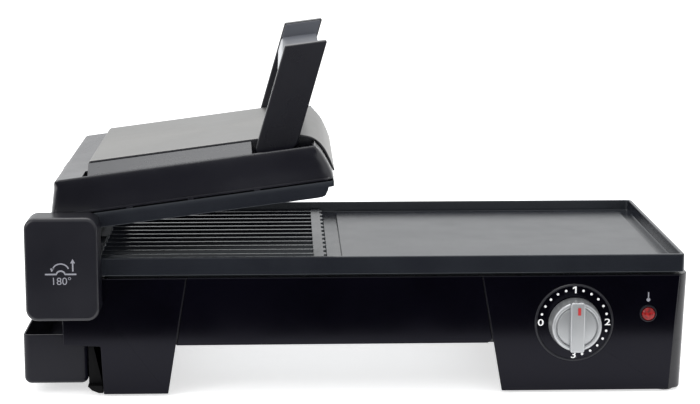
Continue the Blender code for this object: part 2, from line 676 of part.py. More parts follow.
def make_lid_cover(pivot):
    """A pressed steel cover standing proud of the lid, open underneath and wrapped over the nose."""
    top = COVER_TOP
    nose = [(0.2150, top - 0.0012), (0.2275, top - 0.0048), (0.2338, top - 0.0108), (0.2380, 0.0330),
            (0.2414, 0.0225), (0.2437, 0.0130)]
    seat = LID_SHELL_Z[1] + GAP
    base = [(0.2421, 0.0130), (0.2416, 0.0170), (0.2389, 0.0255), (0.2349, 0.0350), (0.2302, seat)]
    body = plate_xz("lid_cover", [(COVER_LEFT, top), (0.1950, top), *nose, *base, (COVER_LEFT, seat)],
                    -COVER_HALF_Y, COVER_HALF_Y)
    roof = top - COVER_T
    hollow = plate_xz("c0", [(COVER_LEFT + COVER_T, roof), (0.1950, roof), (0.2140, roof - 0.0012),
                             (0.2240, roof - 0.0048), (0.2240, 0.0300), (COVER_LEFT + COVER_T, 0.0300)],
                      -COVER_HALF_Y + COVER_T, COVER_HALF_Y - COVER_T, CUTTERS)
    body = boolean(body, [hollow])
    finish(put(body, pivot), STEEL, 30)


def make_upper_plate(pivot):
    """The upper casting, with ribs underneath that hang inside the lower pan when closed."""
    low, high = UPPER_Z
    step = low + 0.0085
    nose = arc(UPPER_RIGHT - 0.0240, low + 0.0700, 0.0700, -90, -71, 4)
    outline = [(UPPER_LEFT, high), (UPPER_LIP, high), (UPPER_LIP - 0.0006, step), (UPPER_RIGHT, step),
               *nose[::-1], (UPPER_LEFT, low)]
    body = plate_xz("upper_plate", outline, -HALF, HALF)
    hollow = box("c0", (UPPER_LEFT + 0.006, UPPER_RIGHT - 0.012), (-HALF + 0.006, HALF - 0.006),
                 (low + 0.0050, high + 0.01), CUTTERS)
    body = boolean(body, [hollow])
    ribs = []
    for i in range(RIB_COUNT):
        y = (i - (RIB_COUNT - 1) / 2) * RIB_PITCH
        ribs.append(make_rib(f"rib{i}", 0.0300, 0.2110, y, low + 0.001, -0.0042))
    body = boolean(body, ribs, "UNION")
    finish(put(body, pivot), CAST)


def make_upper_heater(pivot):
    """One hairpin element in the upper casting's tray, under its own heat shield."""
    z = UPPER_Z[0] + 0.0050 + 0.0040 + GAP
    rod = tube("upper_element", hairpin(0.030, 0.205, 0.070, z), 0.0038)
    finish(put(rod, pivot), ELEMENT, 40)
    shield = box("upper_heat_shield", (0.016, 0.226), (-0.1290, 0.1290), (0.0135, 0.0145))
    finish(put(shield, pivot), ZINC)
    for name, y in (("upper_clip_front", -1), ("upper_clip_rear", 1)):
        ys = sorted((y * 0.1296, y * (HALF - LID_WALL - GAP)))
        clip = box(name, (0.105, 0.135), ys, (UPPER_Z[1] + GAP, 0.0315))
        finish(put(clip, pivot), ZINC)


def make_lid_lugs(pivot):
    """A steel lug inside each side of the lid, with the eye that turns on the rod."""
    for name, side in (("lid_lug_front", -1), ("lid_lug_rear", 1)):
        edge = HALF - LID_WALL - GAP
        ys = sorted((side * edge, side * (edge - 0.004)))
        eye = arc(0, 0, 0.0082, 0, -180, 12)
        outline = [(0.0008, 0.0320), (0.0400, 0.0320), (0.0400, 0.0160), (0.0110, 0.0160), (0.0082, 0.0080),
                   *eye, (-0.0040, 0.0080)]
        body = plate_xz(name, outline, *ys)
        bore = cylinder("c0", (0, side * edge, 0), "Y", ROD_R + 0.0002, 0.02, CUTTERS)
        finish(put(boolean(body, [bore]), pivot), ZINC)


def arm_outline():
    """One handle arm, clockwise: a leaning flat bar whose tip is cut parallel to the lid, on a round eye."""
    lean = math.tan(math.radians(ARM_LEAN))
    px, pz = HANDLE_PIVOT
    shift = (ARM_TIP_Z - pz) * lean
    neck = 0.0160
    top = [(px + shift - ARM_W / 2, ARM_TIP_Z), (px + shift + ARM_W / 2, ARM_TIP_Z)]
    low = [(px + neck * lean + ARM_W / 2, pz + neck), (px + neck * lean - ARM_W / 2, pz + neck)]
    eye = arc(px, pz, 0.0105, 20, -200, 14)
    return [*top, low[0], *eye, low[1]]


def make_handle(pivot):
    """Two flat arms and the bar between them; the arms turn on pins in the lid's pockets."""
    px, pz = HANDLE_PIVOT
    hinge = empty("handle_hinge", (px, 0, pz), parent=pivot)
    move = Matrix.Translation((-px, 0, -pz))
    lean = math.tan(math.radians(ARM_LEAN))
    for name, side in (("handle_arm_front", -1), ("handle_arm_rear", 1)):
        ys = sorted((side * ARM_OUT_Y, side * (ARM_OUT_Y - ARM_T)))
        body = plate_xz(name, arm_outline(), *ys)
        body = round_edges(body, 0.0008, 1)
        bore = cylinder("c0", (px, side * ARM_OUT_Y, pz), "Y", PIN_R + 0.0002, 0.04, CUTTERS)
        body = boolean(body, [bore])
        body.data.transform(move)
        finish(put(body, hinge), SATIN_BLACK)
    half = ARM_W / 2 - 0.0012
    low, high = GRIP_Z
    x0 = px + (low - pz) * lean
    x1 = px + (high - pz) * lean
    reach = ARM_OUT_Y - ARM_T - GAP
    grip = plate_xz("handle_grip", [(x1 - half, high), (x1 + half, high), (x0 + half, low), (x0 - half, low)],
                    -reach, reach)
    grip = round_edges(grip, 0.0030, 3, 30)
    grip.data.transform(move)
    finish(put(grip, hinge), KNOB_SILVER, 40)


def make_handle_mounts(pivot):
    """A bracket under the lid's top on each side, with the pin that each arm turns on."""
    px, pz = HANDLE_PIVOT
    for name, side in (("handle_bracket_front", -1), ("handle_bracket_rear", 1)):
        ys = sorted((side * 0.1172, side * 0.1202))
        bracket = box(name, (px - 0.014, px + 0.014), ys, (0.0152, GROOVE_Z - LID_WALL - GAP))
        bore = cylinder("c0", (px, side * 0.118, pz), "Y", PIN_R + 0.0002, 0.02, CUTTERS)
        finish(put(boolean(bracket, [bore]), pivot), ZINC)
    for name, side in (("handle_pin_front", -1), ("handle_pin_rear", 1)):
        pin = cylinder(name, (px, side * 0.1115, pz), "Y", PIN_R, 0.019)
        finish(put(pin, pivot), ZINC, 40)


def main():
    make_housing()
    make_front_panels()
    make_griddle()
    make_lower_heater()
    make_bottom_cover()
    make_feet()
    make_drain_chute()
    make_tray()
    make_tray_guide()
    make_controls()
    make_wiring()
    make_hinge_block("hinge_block_front", -1)
    make_hinge_block("hinge_block_rear", 1)
    make_slot_plate("slot_plate_front", -1)
    make_slot_plate("slot_plate_rear", 1)
    make_carriages()
    lid = empty("lid_pivot", (AXIS_X, 0, AXIS_Z), -LID_TILT)
    make_lid_shell(lid)
    make_lid_cover(lid)
    make_upper_plate(lid)
    make_upper_heater(lid)
    make_lid_lugs(lid)
    make_handle(lid)
    make_handle_mounts(lid)


main()
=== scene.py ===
"""A double contact grill on a raised base: its looks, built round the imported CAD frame.

The file follows the machine from the floor up: body, griddle, heaters, feet, tray, controls, hinge, lid,
handle, printed marks, and last the studio it stands in. Lengths are in metres.
"""

import math

import bmesh
import bpy
import numpy as np
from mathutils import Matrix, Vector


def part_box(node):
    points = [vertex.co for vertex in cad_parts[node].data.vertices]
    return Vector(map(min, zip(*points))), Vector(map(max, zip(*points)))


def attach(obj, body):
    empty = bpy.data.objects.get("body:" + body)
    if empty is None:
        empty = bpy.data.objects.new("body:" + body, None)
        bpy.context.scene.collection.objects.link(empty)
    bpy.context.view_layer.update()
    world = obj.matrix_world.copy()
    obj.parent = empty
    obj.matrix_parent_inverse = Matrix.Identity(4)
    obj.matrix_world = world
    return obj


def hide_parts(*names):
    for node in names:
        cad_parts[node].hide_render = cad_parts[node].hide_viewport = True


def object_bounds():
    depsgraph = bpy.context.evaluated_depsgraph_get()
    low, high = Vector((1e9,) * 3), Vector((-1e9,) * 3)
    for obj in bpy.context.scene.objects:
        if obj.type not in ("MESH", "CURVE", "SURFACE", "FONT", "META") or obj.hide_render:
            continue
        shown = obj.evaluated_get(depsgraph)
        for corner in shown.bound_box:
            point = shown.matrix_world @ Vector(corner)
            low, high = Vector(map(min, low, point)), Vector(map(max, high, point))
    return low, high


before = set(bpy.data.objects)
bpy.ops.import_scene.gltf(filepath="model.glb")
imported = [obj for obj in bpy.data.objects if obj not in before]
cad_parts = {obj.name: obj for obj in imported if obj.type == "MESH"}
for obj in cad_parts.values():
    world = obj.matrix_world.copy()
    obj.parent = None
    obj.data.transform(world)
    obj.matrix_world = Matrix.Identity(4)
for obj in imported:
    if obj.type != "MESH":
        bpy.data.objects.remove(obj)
cad_low, cad_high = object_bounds()


# ---- Body shell -------------------------------------------------------------------------------------
# The body is folded steel sheet under gloss black enamel: a trunk with an inward flange along its top, on
# four hollow tapered legs welded under it. The two right-hand corners are rolled, the left ones folded.


def rounded(corners, radii, steps=6):
    """An outline with each corner replaced by an arc: the arc's points are a spherical blend between the
    two directions from the arc's centre to the points where it touches the corner's sides."""
    corners = np.asarray(corners, float)
    radii = np.broadcast_to(np.asarray(radii, float), len(corners)).copy()
    back = np.roll(corners, 1, 0) - corners
    ahead = np.roll(corners, -1, 0) - corners
    back /= np.linalg.norm(back, axis=1)[:, None]
    ahead /= np.linalg.norm(ahead, axis=1)[:, None]
    half = np.arccos(np.clip((back * ahead).sum(1), -1, 1)) / 2
    inward = back + ahead
    inward /= np.linalg.norm(inward, axis=1)[:, None]
    centre = corners + inward * (radii / np.sin(half))[:, None]
    touch = radii / np.tan(half)
    a = (corners + back * touch[:, None] - centre) / radii[:, None]
    b = (corners + ahead * touch[:, None] - centre) / radii[:, None]
    sweep = np.arccos(np.clip((a * b).sum(1), -1, 1))[:, None, None]
    t = np.linspace(0, 1, steps + 1)[None, :, None]
    bow = (np.sin((1 - t) * sweep) * a[:, None] + np.sin(t * sweep) * b[:, None]) / np.sin(sweep)
    return (centre[:, None] + bow * radii[:, None, None]).reshape(-1, 2)
def corners_of(low, high):
    """A rectangle's four corners, from its low one round."""
    (x0, y0), (x1, y1) = low, high
    return np.array([(x0, y0), (x1, y0), (x1, y1), (x0, y1)], float)


def rectangle(low, high, radii, steps=6):
    """A rectangle's outline with rounded corners."""
    return rounded(corners_of(low, high), radii, steps)


def grown(outline, by):
    """The outline moved out by a distance: each point goes along the mitre of its two sides' normals."""
    after = np.roll(outline, -1, 0)
    ahead = after - outline
    ahead /= np.linalg.norm(ahead, axis=1)[:, None]
    out = np.stack([ahead[:, 1], -ahead[:, 0]], 1)
    before = np.roll(out, 1, 0)
    turn = np.sign(np.sum(outline[:, 0] * after[:, 1] - after[:, 0] * outline[:, 1]))
    mitre = (out + before) / (1 + (out * before).sum(1))[:, None]
    return outline + mitre * turn * np.broadcast_to(np.asarray(by, float), len(outline))[:, None]


def closed_mesh(name, points, faces, sharp=35):
    """A welded mesh object. Its faces point outwards: they are turned over if they enclose less than
    nothing. Flat faces between sharp edges shade flat."""
    mesh = bpy.data.meshes.new(name)
    mesh.from_pydata(np.asarray(points, float).reshape(-1, 3).tolist(), [], faces)
    work = bmesh.new()
    work.from_mesh(mesh)
    bmesh.ops.remove_doubles(work, verts=work.verts, dist=1e-7)
    if work.calc_volume(signed=True) < 0:
        bmesh.ops.reverse_faces(work, faces=work.faces)
    work.to_mesh(mesh)
    work.free()
    mesh.shade_smooth()
    mesh.set_sharp_from_angle(angle=math.radians(sharp))
    made = bpy.data.objects.new(name, mesh)
    bpy.context.scene.collection.objects.link(made)
    flats = made.modifiers.new("flat_faces", "WEIGHTED_NORMAL")
    flats.keep_sharp = True
    return made


def skin(name, rings, caps=(True, True), wrap=False, sharp=35):
    """A skin through a stack of closed rings: point j of ring i joins its neighbours round and along. Flat
    caps close the two ends, or wrap joins the last ring to the first."""
    rings = np.asarray(rings, float)
    count, size = rings.shape[:2]
    rows = np.arange(count if wrap else count - 1)[:, None]
    here = np.arange(size)[None, :]
    there = (here + 1) % size
    up = (rows + 1) % count
    quads = np.stack([rows * size + here, rows * size + there, up * size + there, up * size + here], -1)
    faces = quads.reshape(-1, 4).tolist()
    if caps[0] and not wrap:
        faces.append(np.arange(size)[::-1].tolist())
    if caps[1] and not wrap:
        faces.append((np.arange(size) + (count - 1) * size).tolist())
    return closed_mesh(name, rings, faces, sharp)


def stack(levels, plan):
    """Rings for skin: for each level (height, inset), the plan's outline at that height, moved in."""
    rings = []
    for height, inset in levels:
        outline = grown(plan(height), -inset)
        rings.append(np.column_stack([outline, np.full(len(outline), height)]))
    return np.array(rings)


def tree_node(tree, kind, **settings):
    """A shader node with its properties set, and values given to its sockets by name or number."""
    made = tree.nodes.new(kind)
    for key, value in settings.items():
        if key == "sockets":
            for socket, number in value.items():
                made.inputs[socket].default_value = number
        else:
            setattr(made, key, value)
    return made


def wired(tree, *runs):
    """Links nodes: each run goes from a node's output to a node's input."""
    for source, gives, target, takes in runs:
        tree.links.new(source.outputs[gives], target.inputs[takes])


def shader_group(name, inputs, outputs):
    """An empty node group with named float or vector sockets."""
    group = bpy.data.node_groups.new(name, "ShaderNodeTree")
    for label, kind, value in inputs:
        socket = group.interface.new_socket(label, in_out="INPUT", socket_type=kind)
        if value is not None:
            socket.default_value = value
    for label, kind in outputs:
        group.interface.new_socket(label, in_out="OUTPUT", socket_type=kind)
    return group, group.nodes.new("NodeGroupInput"), group.nodes.new("NodeGroupOutput")


def moulded_grain():
    """Spark-eroded or sprayed skin: a fine noise on top of a softer one, with a mask of slow drift."""
    group, given, result = shader_group(
        "moulded_grain",
        [("Vector", "NodeSocketVector", None), ("Scale", "NodeSocketFloat", 900.0),
         ("Drift", "NodeSocketFloat", 14.0)],
        [("Height", "NodeSocketFloat"), ("Drift", "NodeSocketFloat")])
    fine = tree_node(group, "ShaderNodeTexNoise", sockets={"Detail": 3.0, "Roughness": 0.6})
    slow = tree_node(group, "ShaderNodeTexNoise", sockets={"Detail": 4.0, "Roughness": 0.55})
    spread = tree_node(group, "ShaderNodeMapRange", sockets={"From Min": 0.35, "From Max": 0.65})
    wired(group, (given, "Vector", fine, "Vector"), (given, "Scale", fine, "Scale"),
          (given, "Vector", slow, "Vector"), (given, "Drift", slow, "Scale"), (slow, "Fac", spread, "Value"),
          (fine, "Fac", result, "Height"), (spread, "Result", result, "Drift"))
    return group


def settled_dust():
    """Dust and wiping marks: they lie on faces that look up and thin out in patches."""
    group, given, result = shader_group(
        "settled_dust",
        [("Vector", "NodeSocketVector", None), ("Normal", "NodeSocketVector", None),
         ("Amount", "NodeSocketFloat", 0.3)],
        [("Mask", "NodeSocketFloat")])
    split = tree_node(group, "ShaderNodeSeparateXYZ")
    upward = tree_node(group, "ShaderNodeMapRange", sockets={"From Min": 0.2, "From Max": 1.0})
    patches = tree_node(group, "ShaderNodeTexNoise", sockets={"Scale": 60.0, "Detail": 6.0, "Roughness": 0.7})
    patch = tree_node(group, "ShaderNodeMapRange", sockets={"From Min": 0.4, "From Max": 0.75})
    both = tree_node(group, "ShaderNodeMath", operation="MULTIPLY")
    scaled = tree_node(group, "ShaderNodeMath", operation="MULTIPLY")
    wired(group, (given, "Normal", split, 0), (split, "Z", upward, "Value"),
          (given, "Vector", patches, "Vector"), (patches, "Fac", patch, "Value"),
          (upward, "Result", both, 0), (patch, "Result", both, 1),
          (both, 0, scaled, 0), (given, "Amount", scaled, 1), (scaled, 0, result, "Mask"))
    return group


def brushed_lines():
    """Lines left by a belt sander: noise drawn out along one direction, coarse and fine together."""
    group, given, result = shader_group(
        "brushed_lines",
        [("Vector", "NodeSocketVector", None), ("Stretch", "NodeSocketVector", (1.0, 1.0, 1.0))],
        [("Height", "NodeSocketFloat"), ("Shade", "NodeSocketFloat")])
    drawn = tree_node(group, "ShaderNodeVectorMath", operation="MULTIPLY")
    fine = tree_node(group, "ShaderNodeTexNoise", sockets={"Scale": 1.0, "Detail": 5.0, "Roughness": 0.75})
    coarse = tree_node(group, "ShaderNodeTexNoise", sockets={"Scale": 0.12, "Detail": 3.0, "Roughness": 0.6})
    wired(group, (given, "Vector", drawn, 0), (given, "Stretch", drawn, 1), (drawn, 0, fine, "Vector"),
          (drawn, 0, coarse, "Vector"), (fine, "Fac", result, "Height"), (coarse, "Fac", result, "Shade"))
    return group


GRAIN = moulded_grain()
DUST = settled_dust()
BRUSH = brushed_lines()


def finish_of(name, dark, light, rough, rough_worn, metal=0.0, grain=900.0, relief=0.00002, dust=0.15,
              drift=14.0, stretch=None, fixed=None):
    """A finish: its colour and roughness drift between two values, dust lies on top, and grain (or brushed
    lines, when stretch is given) raises a fine relief. fixed holds the shader's constant sockets."""
    made = bpy.data.materials.new(name)
    made.use_nodes = True
    tree = made.node_tree
    shader = tree.nodes["Principled BSDF"]
    shader.inputs["Metallic"].default_value = metal
    for socket, value in (fixed or {}).items():
        shader.inputs[socket].default_value = value
    place = tree_node(tree, "ShaderNodeTexCoord")
    skin_noise = tree_node(tree, "ShaderNodeGroup", node_tree=GRAIN, sockets={"Scale": grain, "Drift": drift})
    dirt = tree_node(tree, "ShaderNodeGroup", node_tree=DUST, sockets={"Amount": dust})
    tone = tree_node(tree, "ShaderNodeMix", data_type="RGBA", sockets={6: (*dark, 1.0), 7: (*light, 1.0)})
    dusty = tree_node(tree, "ShaderNodeMix", data_type="RGBA", sockets={7: (0.30, 0.29, 0.27, 1.0)})
    worn = tree_node(tree, "ShaderNodeMapRange", sockets={"To Min": rough, "To Max": rough_worn})
    duller = tree_node(tree, "ShaderNodeMath", operation="ADD", use_clamp=True)
    bump = tree_node(tree, "ShaderNodeBump", sockets={"Strength": 0.6, "Distance": relief})
    relief_of = (skin_noise, "Height")
    shade_of = (skin_noise, "Drift")
    if stretch:
        belt = tree_node(tree, "ShaderNodeGroup", node_tree=BRUSH, sockets={"Stretch": stretch})
        wired(tree, (place, "Object", belt, "Vector"))
        relief_of = (belt, "Height")
        shade_of = (belt, "Shade")
    wired(tree, (place, "Object", skin_noise, "Vector"), (place, "Object", dirt, "Vector"),
          (place, "Normal", dirt, "Normal"), (*shade_of, tone, 0), (tone, 2, dusty, 6),
          (dirt, "Mask", dusty, 0), (dusty, 2, shader, "Base Color"), (*shade_of, worn, "Value"),
          (worn, "Result", duller, 0), (dirt, "Mask", duller, 1), (duller, 0, shader, "Roughness"),
          (*relief_of, bump, "Height"), (bump, "Normal", shader, "Normal"))
    return made


GLOSS_ENAMEL = finish_of("gloss_enamel", (0.0004, 0.0003, 0.0014), (0.0007, 0.0005, 0.0021), 0.12, 0.17,
                         grain=260.0, relief=0.000004, dust=0.02,
                         fixed={"IOR": 1.40, "Specular IOR Level": 0.27,
                                "Specular Tint": (0.84, 0.84, 1.0, 1.0)})
BODY_ENAMEL = finish_of("body_enamel", (0.006, 0.006, 0.0085), (0.008, 0.008, 0.0110), 0.22, 0.30,
                        grain=420.0, relief=0.00001, dust=0.04, fixed={"IOR": 1.5})


def fitted(obj, finish, slot, body, *nodes):
    """Gives a piece its finish and its body, and names the CAD nodes it stands for; slot is not used."""
    obj.data.materials.clear()
    obj.data.materials.append(finish)
    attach(obj, body)
    if nodes:
        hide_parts(*nodes)
    return obj


shell_low, shell_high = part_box("base_housing")
SHELL_LEFT = -0.226
SHELL_FOOT = shell_low.z
SHELL_TOP = shell_high.z
SHELL_FRONT = shell_low.y
SHELL_BACK = shell_high.y
ARCH = 0.046
SHEET = 0.002
ROLL = 0.011
FOLD = 0.0016
RIGHT_LEAN = 0.004
LEFT_LEAN = 0.002
MID_WALL = 0.0766
FLANGE = 0.014
MOUTH_RIGHT = 0.2812
LEG_FRONT_Y = (SHELL_FRONT, -0.070)
LEG_REAR_Y = (0.080, SHELL_BACK)
RIGHT_LEG = 0.138
LEFT_LEG = -0.182


def right_wall(z):
    """The right wall leans in evenly from the top of the body to the feet."""
    return shell_high.x - RIGHT_LEAN * (SHELL_TOP - z) / (SHELL_TOP - SHELL_FOOT)


def left_wall(z):
    """The left wall leans in over the same height, half as much."""
    return SHELL_LEFT + LEFT_LEAN * (SHELL_TOP - z) / (SHELL_TOP - SHELL_FOOT)


def trunk_plan(z):
    """The body's outline at a height: between its two leaning walls."""
    return rectangle((left_wall(z), SHELL_FRONT), (right_wall(z), SHELL_BACK), [FOLD, ROLL, ROLL, FOLD], 8)


def trunk_hollow(z):
    """The same outline, one thickness of sheet further in."""
    return rectangle((left_wall(z) + SHEET, SHELL_FRONT + SHEET), (right_wall(z) - SHEET, SHELL_BACK - SHEET),
                     [FOLD, ROLL - SHEET, ROLL - SHEET, FOLD], 8)


def flange_plan(z):
    """The mouth inside the top flange, alike at every height."""
    return rectangle((SHELL_LEFT + FLANGE, SHELL_FRONT + 0.012), (MOUTH_RIGHT, SHELL_BACK - FLANGE), 0.003, 8)


outside = stack([(ARCH, 0.0009), (ARCH + 0.0003, 0.0002), (ARCH + 0.001, 0), (MID_WALL, 0),
                 (SHELL_TOP - 0.0009, 0), (SHELL_TOP - 0.0003, 0.0002), (SHELL_TOP, 0.0009)], trunk_plan)
flange = stack([(SHELL_TOP, 0), (SHELL_TOP - SHEET, 0)], flange_plan)
inside = stack([(SHELL_TOP - SHEET, 0), (ARCH + SHEET, 0)], trunk_hollow)
trunk = skin("body_trunk", np.concatenate([outside, flange, inside]))
fitted(trunk, BODY_ENAMEL, "housing_black", "base", "base_housing")


def leg(name, side, ys):
    """One tapered leg: a stack of rounded outlines whose inner wall leans in toward the arch."""
    def plan(z):
        """The leg's outline at a height; drop runs from nought at the arch to one at the floor."""
        drop = (ARCH - z) / (ARCH - SHELL_FOOT)
        if side > 0:
            xs = (RIGHT_LEG + 0.012 * drop, right_wall(z))
            radii = [FOLD, ROLL if ys[0] < 0 else FOLD, FOLD if ys[0] < 0 else ROLL, FOLD]
        else:
            xs = (left_wall(z), LEFT_LEG - 0.004 * drop)
            radii = [FOLD] * 4
        return rectangle((xs[0], ys[0]), (xs[1], ys[1]), radii, 8)
    levels = [(SHELL_FOOT, 0.0012), (SHELL_FOOT + 0.0004, 0.0003), (SHELL_FOOT + 0.0013, 0), (0.024, 0),
              (ARCH + 0.0012, 0)]
    made = skin(name, stack(levels, plan))
    return fitted(made, BODY_ENAMEL, "housing_black", "base")


leg("leg_front_right", 1, LEG_FRONT_Y)
leg("leg_rear_right", 1, LEG_REAR_Y)
leg("leg_front_left", -1, LEG_FRONT_Y)
leg("leg_rear_left", -1, LEG_REAR_Y)


def upright(points, w):
    """Puts an outline of x and z at depth w along y."""
    return np.column_stack([points[:, 0], np.full(len(points), w), points[:, 1]])


def level(points, w):
    """Puts an outline of x and y at height w."""
    return np.column_stack([points[:, 0], points[:, 1], np.full(len(points), w)])


def slab(name, outline, w0, w1, edge, place=upright, steps=4, hold=None, sharp=35):
    """A plate between two depths with quarter-round edges: near each face the outline draws in by
    edge times one minus the sine of the turn, while the depth goes by edge times one minus its cosine.
    hold, 0 to 1 for each point, keeps points from drawing in."""
    turn = np.linspace(0, math.pi / 2, steps + 1)
    draw = edge * (1 - np.sin(turn))
    depth = edge * (1 - np.cos(turn))
    weight = 1.0 if hold is None else 1 - hold
    way = np.sign(w1 - w0)
    rings = [place(grown(outline, -d * weight), w0 + s * way) for d, s in zip(draw, depth)]
    rings += [place(grown(outline, -d * weight), w1 - s * way) for d, s in zip(draw[::-1], depth[::-1])]
    return skin(name, rings, sharp=sharp)


ear_outline = rectangle((-0.2590, 0.0470), (-0.2250, 0.0890), 0.0015)
ear = slab("body_rear_ear", ear_outline, SHELL_BACK - 0.0024, SHELL_BACK - 0.0004, 0.0006)
fitted(ear, BODY_ENAMEL, "housing_black", "base")


# ---- Front panels -----------------------------------------------------------------------------------
# Three gloss black panels cover the front: a stepped one on the left leg, a plain one between the legs, set
# back a little, and the control panel. Each is moulded with soft edges that catch the light at the seams.

PANEL_FRONT = cad_low.y + 0.028
PANEL_BACK = PANEL_FRONT + 0.0020
PANEL_TOP = 0.1070
PANEL_FOOT = 0.0020
SOFT = 0.0008
SEAM_EDGE = 0.0009

left_outline = rounded([(-0.2460, PANEL_TOP), (-0.2460, 0.0890), (-0.2590, 0.0890), (-0.2590, 0.0470),
                        (-0.2262, 0.0455), (-0.2242, PANEL_FOOT), (-0.1672, PANEL_FOOT),
                        (-0.1497, PANEL_TOP)],
                       [SOFT, SOFT, 0.0012, 0.0012, SOFT, SOFT, SOFT, SOFT], 3)
centre_outline = rounded([(-0.1491, PANEL_TOP), (-0.1594, 0.0460), (0.1170, 0.0460), (0.1209, 0.0500),
                          (0.1109, PANEL_TOP)], SOFT, 3)
control_outline = rounded([(0.1115, PANEL_TOP), (0.1298, PANEL_FOOT), (0.2795, PANEL_FOOT), (0.2842, 0.0700),
                           (0.2870, PANEL_TOP)], [SOFT, SOFT, SOFT, 0.02, SOFT], 3)
for name, outline, back_set in (("left_leg_panel", left_outline, 0.0),
                                ("centre_front_panel", centre_outline, 0.0006),
                                ("control_panel", control_outline, 0.0)):
    panel = slab(name + "_cover", outline, PANEL_FRONT + back_set, PANEL_BACK, SEAM_EDGE)
    fitted(panel, GLOSS_ENAMEL, "gloss_black", "base", name)


# ---- Griddle plate ----------------------------------------------------------------------------------
# One aluminium casting with a dark non-stick coat: a low rim round a pan that has thirteen ribs under the
# lid, a cross land with a toothed edge, a raised flat at the right, and a slot at the left that drains fat.

NON_STICK = finish_of("non_stick_coat", (0.0085, 0.0096, 0.0135), (0.0098, 0.0112, 0.0155), 0.20, 0.235,
                      grain=1500.0, relief=0.00002, dust=0.015, drift=22.0,
                      fixed={"IOR": 1.5, "Specular Tint": (0.90, 0.96, 1.0, 1.0)})


def smooth_step(value, low, high):
    """Nought below low, one above high, and the cubic 3t2 - 2t3 between."""
    t = np.clip((value - low) / (high - low), 0, 1)
    return t * t * (3 - 2 * t)


def field(name, xs, ys, top, under, frames, place=None, hole=None, sharp=40):
    """A casting: a grid of heights on top and another underneath, joined round the edge by frames, each a
    rounded rectangle (x0, x1, y0, y1, radius, height). Cells of the grid inside hole are left out, and
    walls join the two grids round them."""
    gx, gy = np.meshgrid(xs, ys, indexing="ij")
    nx, ny = gx.shape
    index = np.arange(nx * ny).reshape(nx, ny)
    rim = np.concatenate([index[:-1, 0], index[-1, :-1], index[:0:-1, -1], index[0, :0:-1]])
    flat = np.stack([gx, gy], -1).reshape(-1, 2)[rim]
    middle = np.array([(xs[0] + xs[-1]) / 2, (ys[0] + ys[-1]) / 2])
    unit = (flat - middle) / np.array([(xs[-1] - xs[0]) / 2, (ys[-1] - ys[0]) / 2])
    loops = []
    for x0, x1, y0, y1, radius, height in frames:
        half = np.array([(x1 - x0) / 2, (y1 - y0) / 2])
        spot = unit * half
        over = np.abs(spot) - (half - radius)
        corner = (over > 0).all(1)
        length = np.linalg.norm(over, axis=1)
        pulled = np.sign(spot) * (half - radius + radius * over / np.maximum(length, 1e-9)[:, None])
        spot = np.where(corner[:, None], pulled, spot) + np.array([(x0 + x1) / 2, (y0 + y1) / 2])
        loops.append(np.column_stack([spot, np.full(len(spot), height)]))
    upper = np.stack([gx, gy, top(gx, gy)], -1).reshape(-1, 3)
    lower = np.stack([gx, gy, under(gx, gy)], -1).reshape(-1, 3)
    points = np.concatenate([upper, lower, *loops])
    cells = np.stack([index[:-1, :-1], index[1:, :-1], index[1:, 1:], index[:-1, 1:]], -1)
    keep = np.ones((nx - 1, ny - 1), bool)
    if hole is not None:
        keep = ~hole((gx[:-1, :-1] + gx[1:, 1:]) / 2, (gy[:-1, :-1] + gy[1:, 1:]) / 2)
    faces = [cells[keep], cells[keep][:, ::-1] + nx * ny]
    cut_x = keep[:-1] != keep[1:]
    edge_x = np.stack([index[1:-1, :-1][cut_x], index[1:-1, 1:][cut_x]], -1)
    turned_x = keep[:-1][cut_x]
    cut_y = keep[:, :-1] != keep[:, 1:]
    edge_y = np.stack([index[:-1, 1:-1][cut_y], index[1:, 1:-1][cut_y]], -1)
    turned_y = ~keep[:, :-1][cut_y]
    for edge, flip in ((edge_x, turned_x), (edge_y, turned_y)):
        wall = np.concatenate([edge[:, ::-1], edge + nx * ny], 1)
        faces.append(np.where(flip[:, None], wall, wall[:, ::-1]))
    size = len(rim)
    tracks = [rim] + [2 * nx * ny + k * size + np.arange(size) for k in range(len(loops))] + [rim + nx * ny]
    for a, b in zip(tracks, tracks[1:]):
        faces.append(np.stack([a, b, np.roll(b, -1), np.roll(a, -1)], -1))
    if place is not None:
        points = place(points)
    return closed_mesh(name, points, np.concatenate(faces).tolist(), sharp)


def thinned(spots):
    """Grid lines in order, without those that nearly coincide with the one before."""
    spots = np.unique(np.round(spots, 6))
    return spots[np.concatenate([[True], np.diff(spots) > 0.00012])]


def lines(*spans):
    """Grid lines from spans of (from, to, count)."""
    return thinned(np.concatenate([np.linspace(a, b, n) for a, b, n in spans]))


plate_low, plate_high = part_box("griddle_plate")
PLATE_TOP = plate_high.z
PLATE_LOW = PLATE_TOP - 0.016
PAN = PLATE_TOP - 0.0105
RIM = 0.0035
PITCH = 0.0185
RIBS = np.arange(-6, 7) * PITCH
RIB_HALF = 0.0040
RIB_TALL = 0.0050
RIB_LEFT, RIB_RIGHT = -0.2310, -0.037
LAND = 0.009
TOOTH = 0.0032
TEETH_Y = 0.1205
FLAT_X = (-0.012, 0.2755)
FLAT_Y = 0.116
FLAT_TALL = 0.0022
SLOT_X = (-0.2385, -0.2325)
SLOT_HALF = 0.016


def rib_height(y, tall):
    """A rib's section across y, repeated at each pitch: sloping sides under a rounded crest."""
    away = np.abs(y[..., None] - RIBS).min(-1)
    side = np.clip((RIB_HALF - away) / 0.0022, 0, 1)
    crest = 0.25 * tall * (away / RIB_HALF) ** 4 * (side > 0)
    return tall * np.where(side < 1, side * (1.15 - 0.15 * side), 1.0) - crest


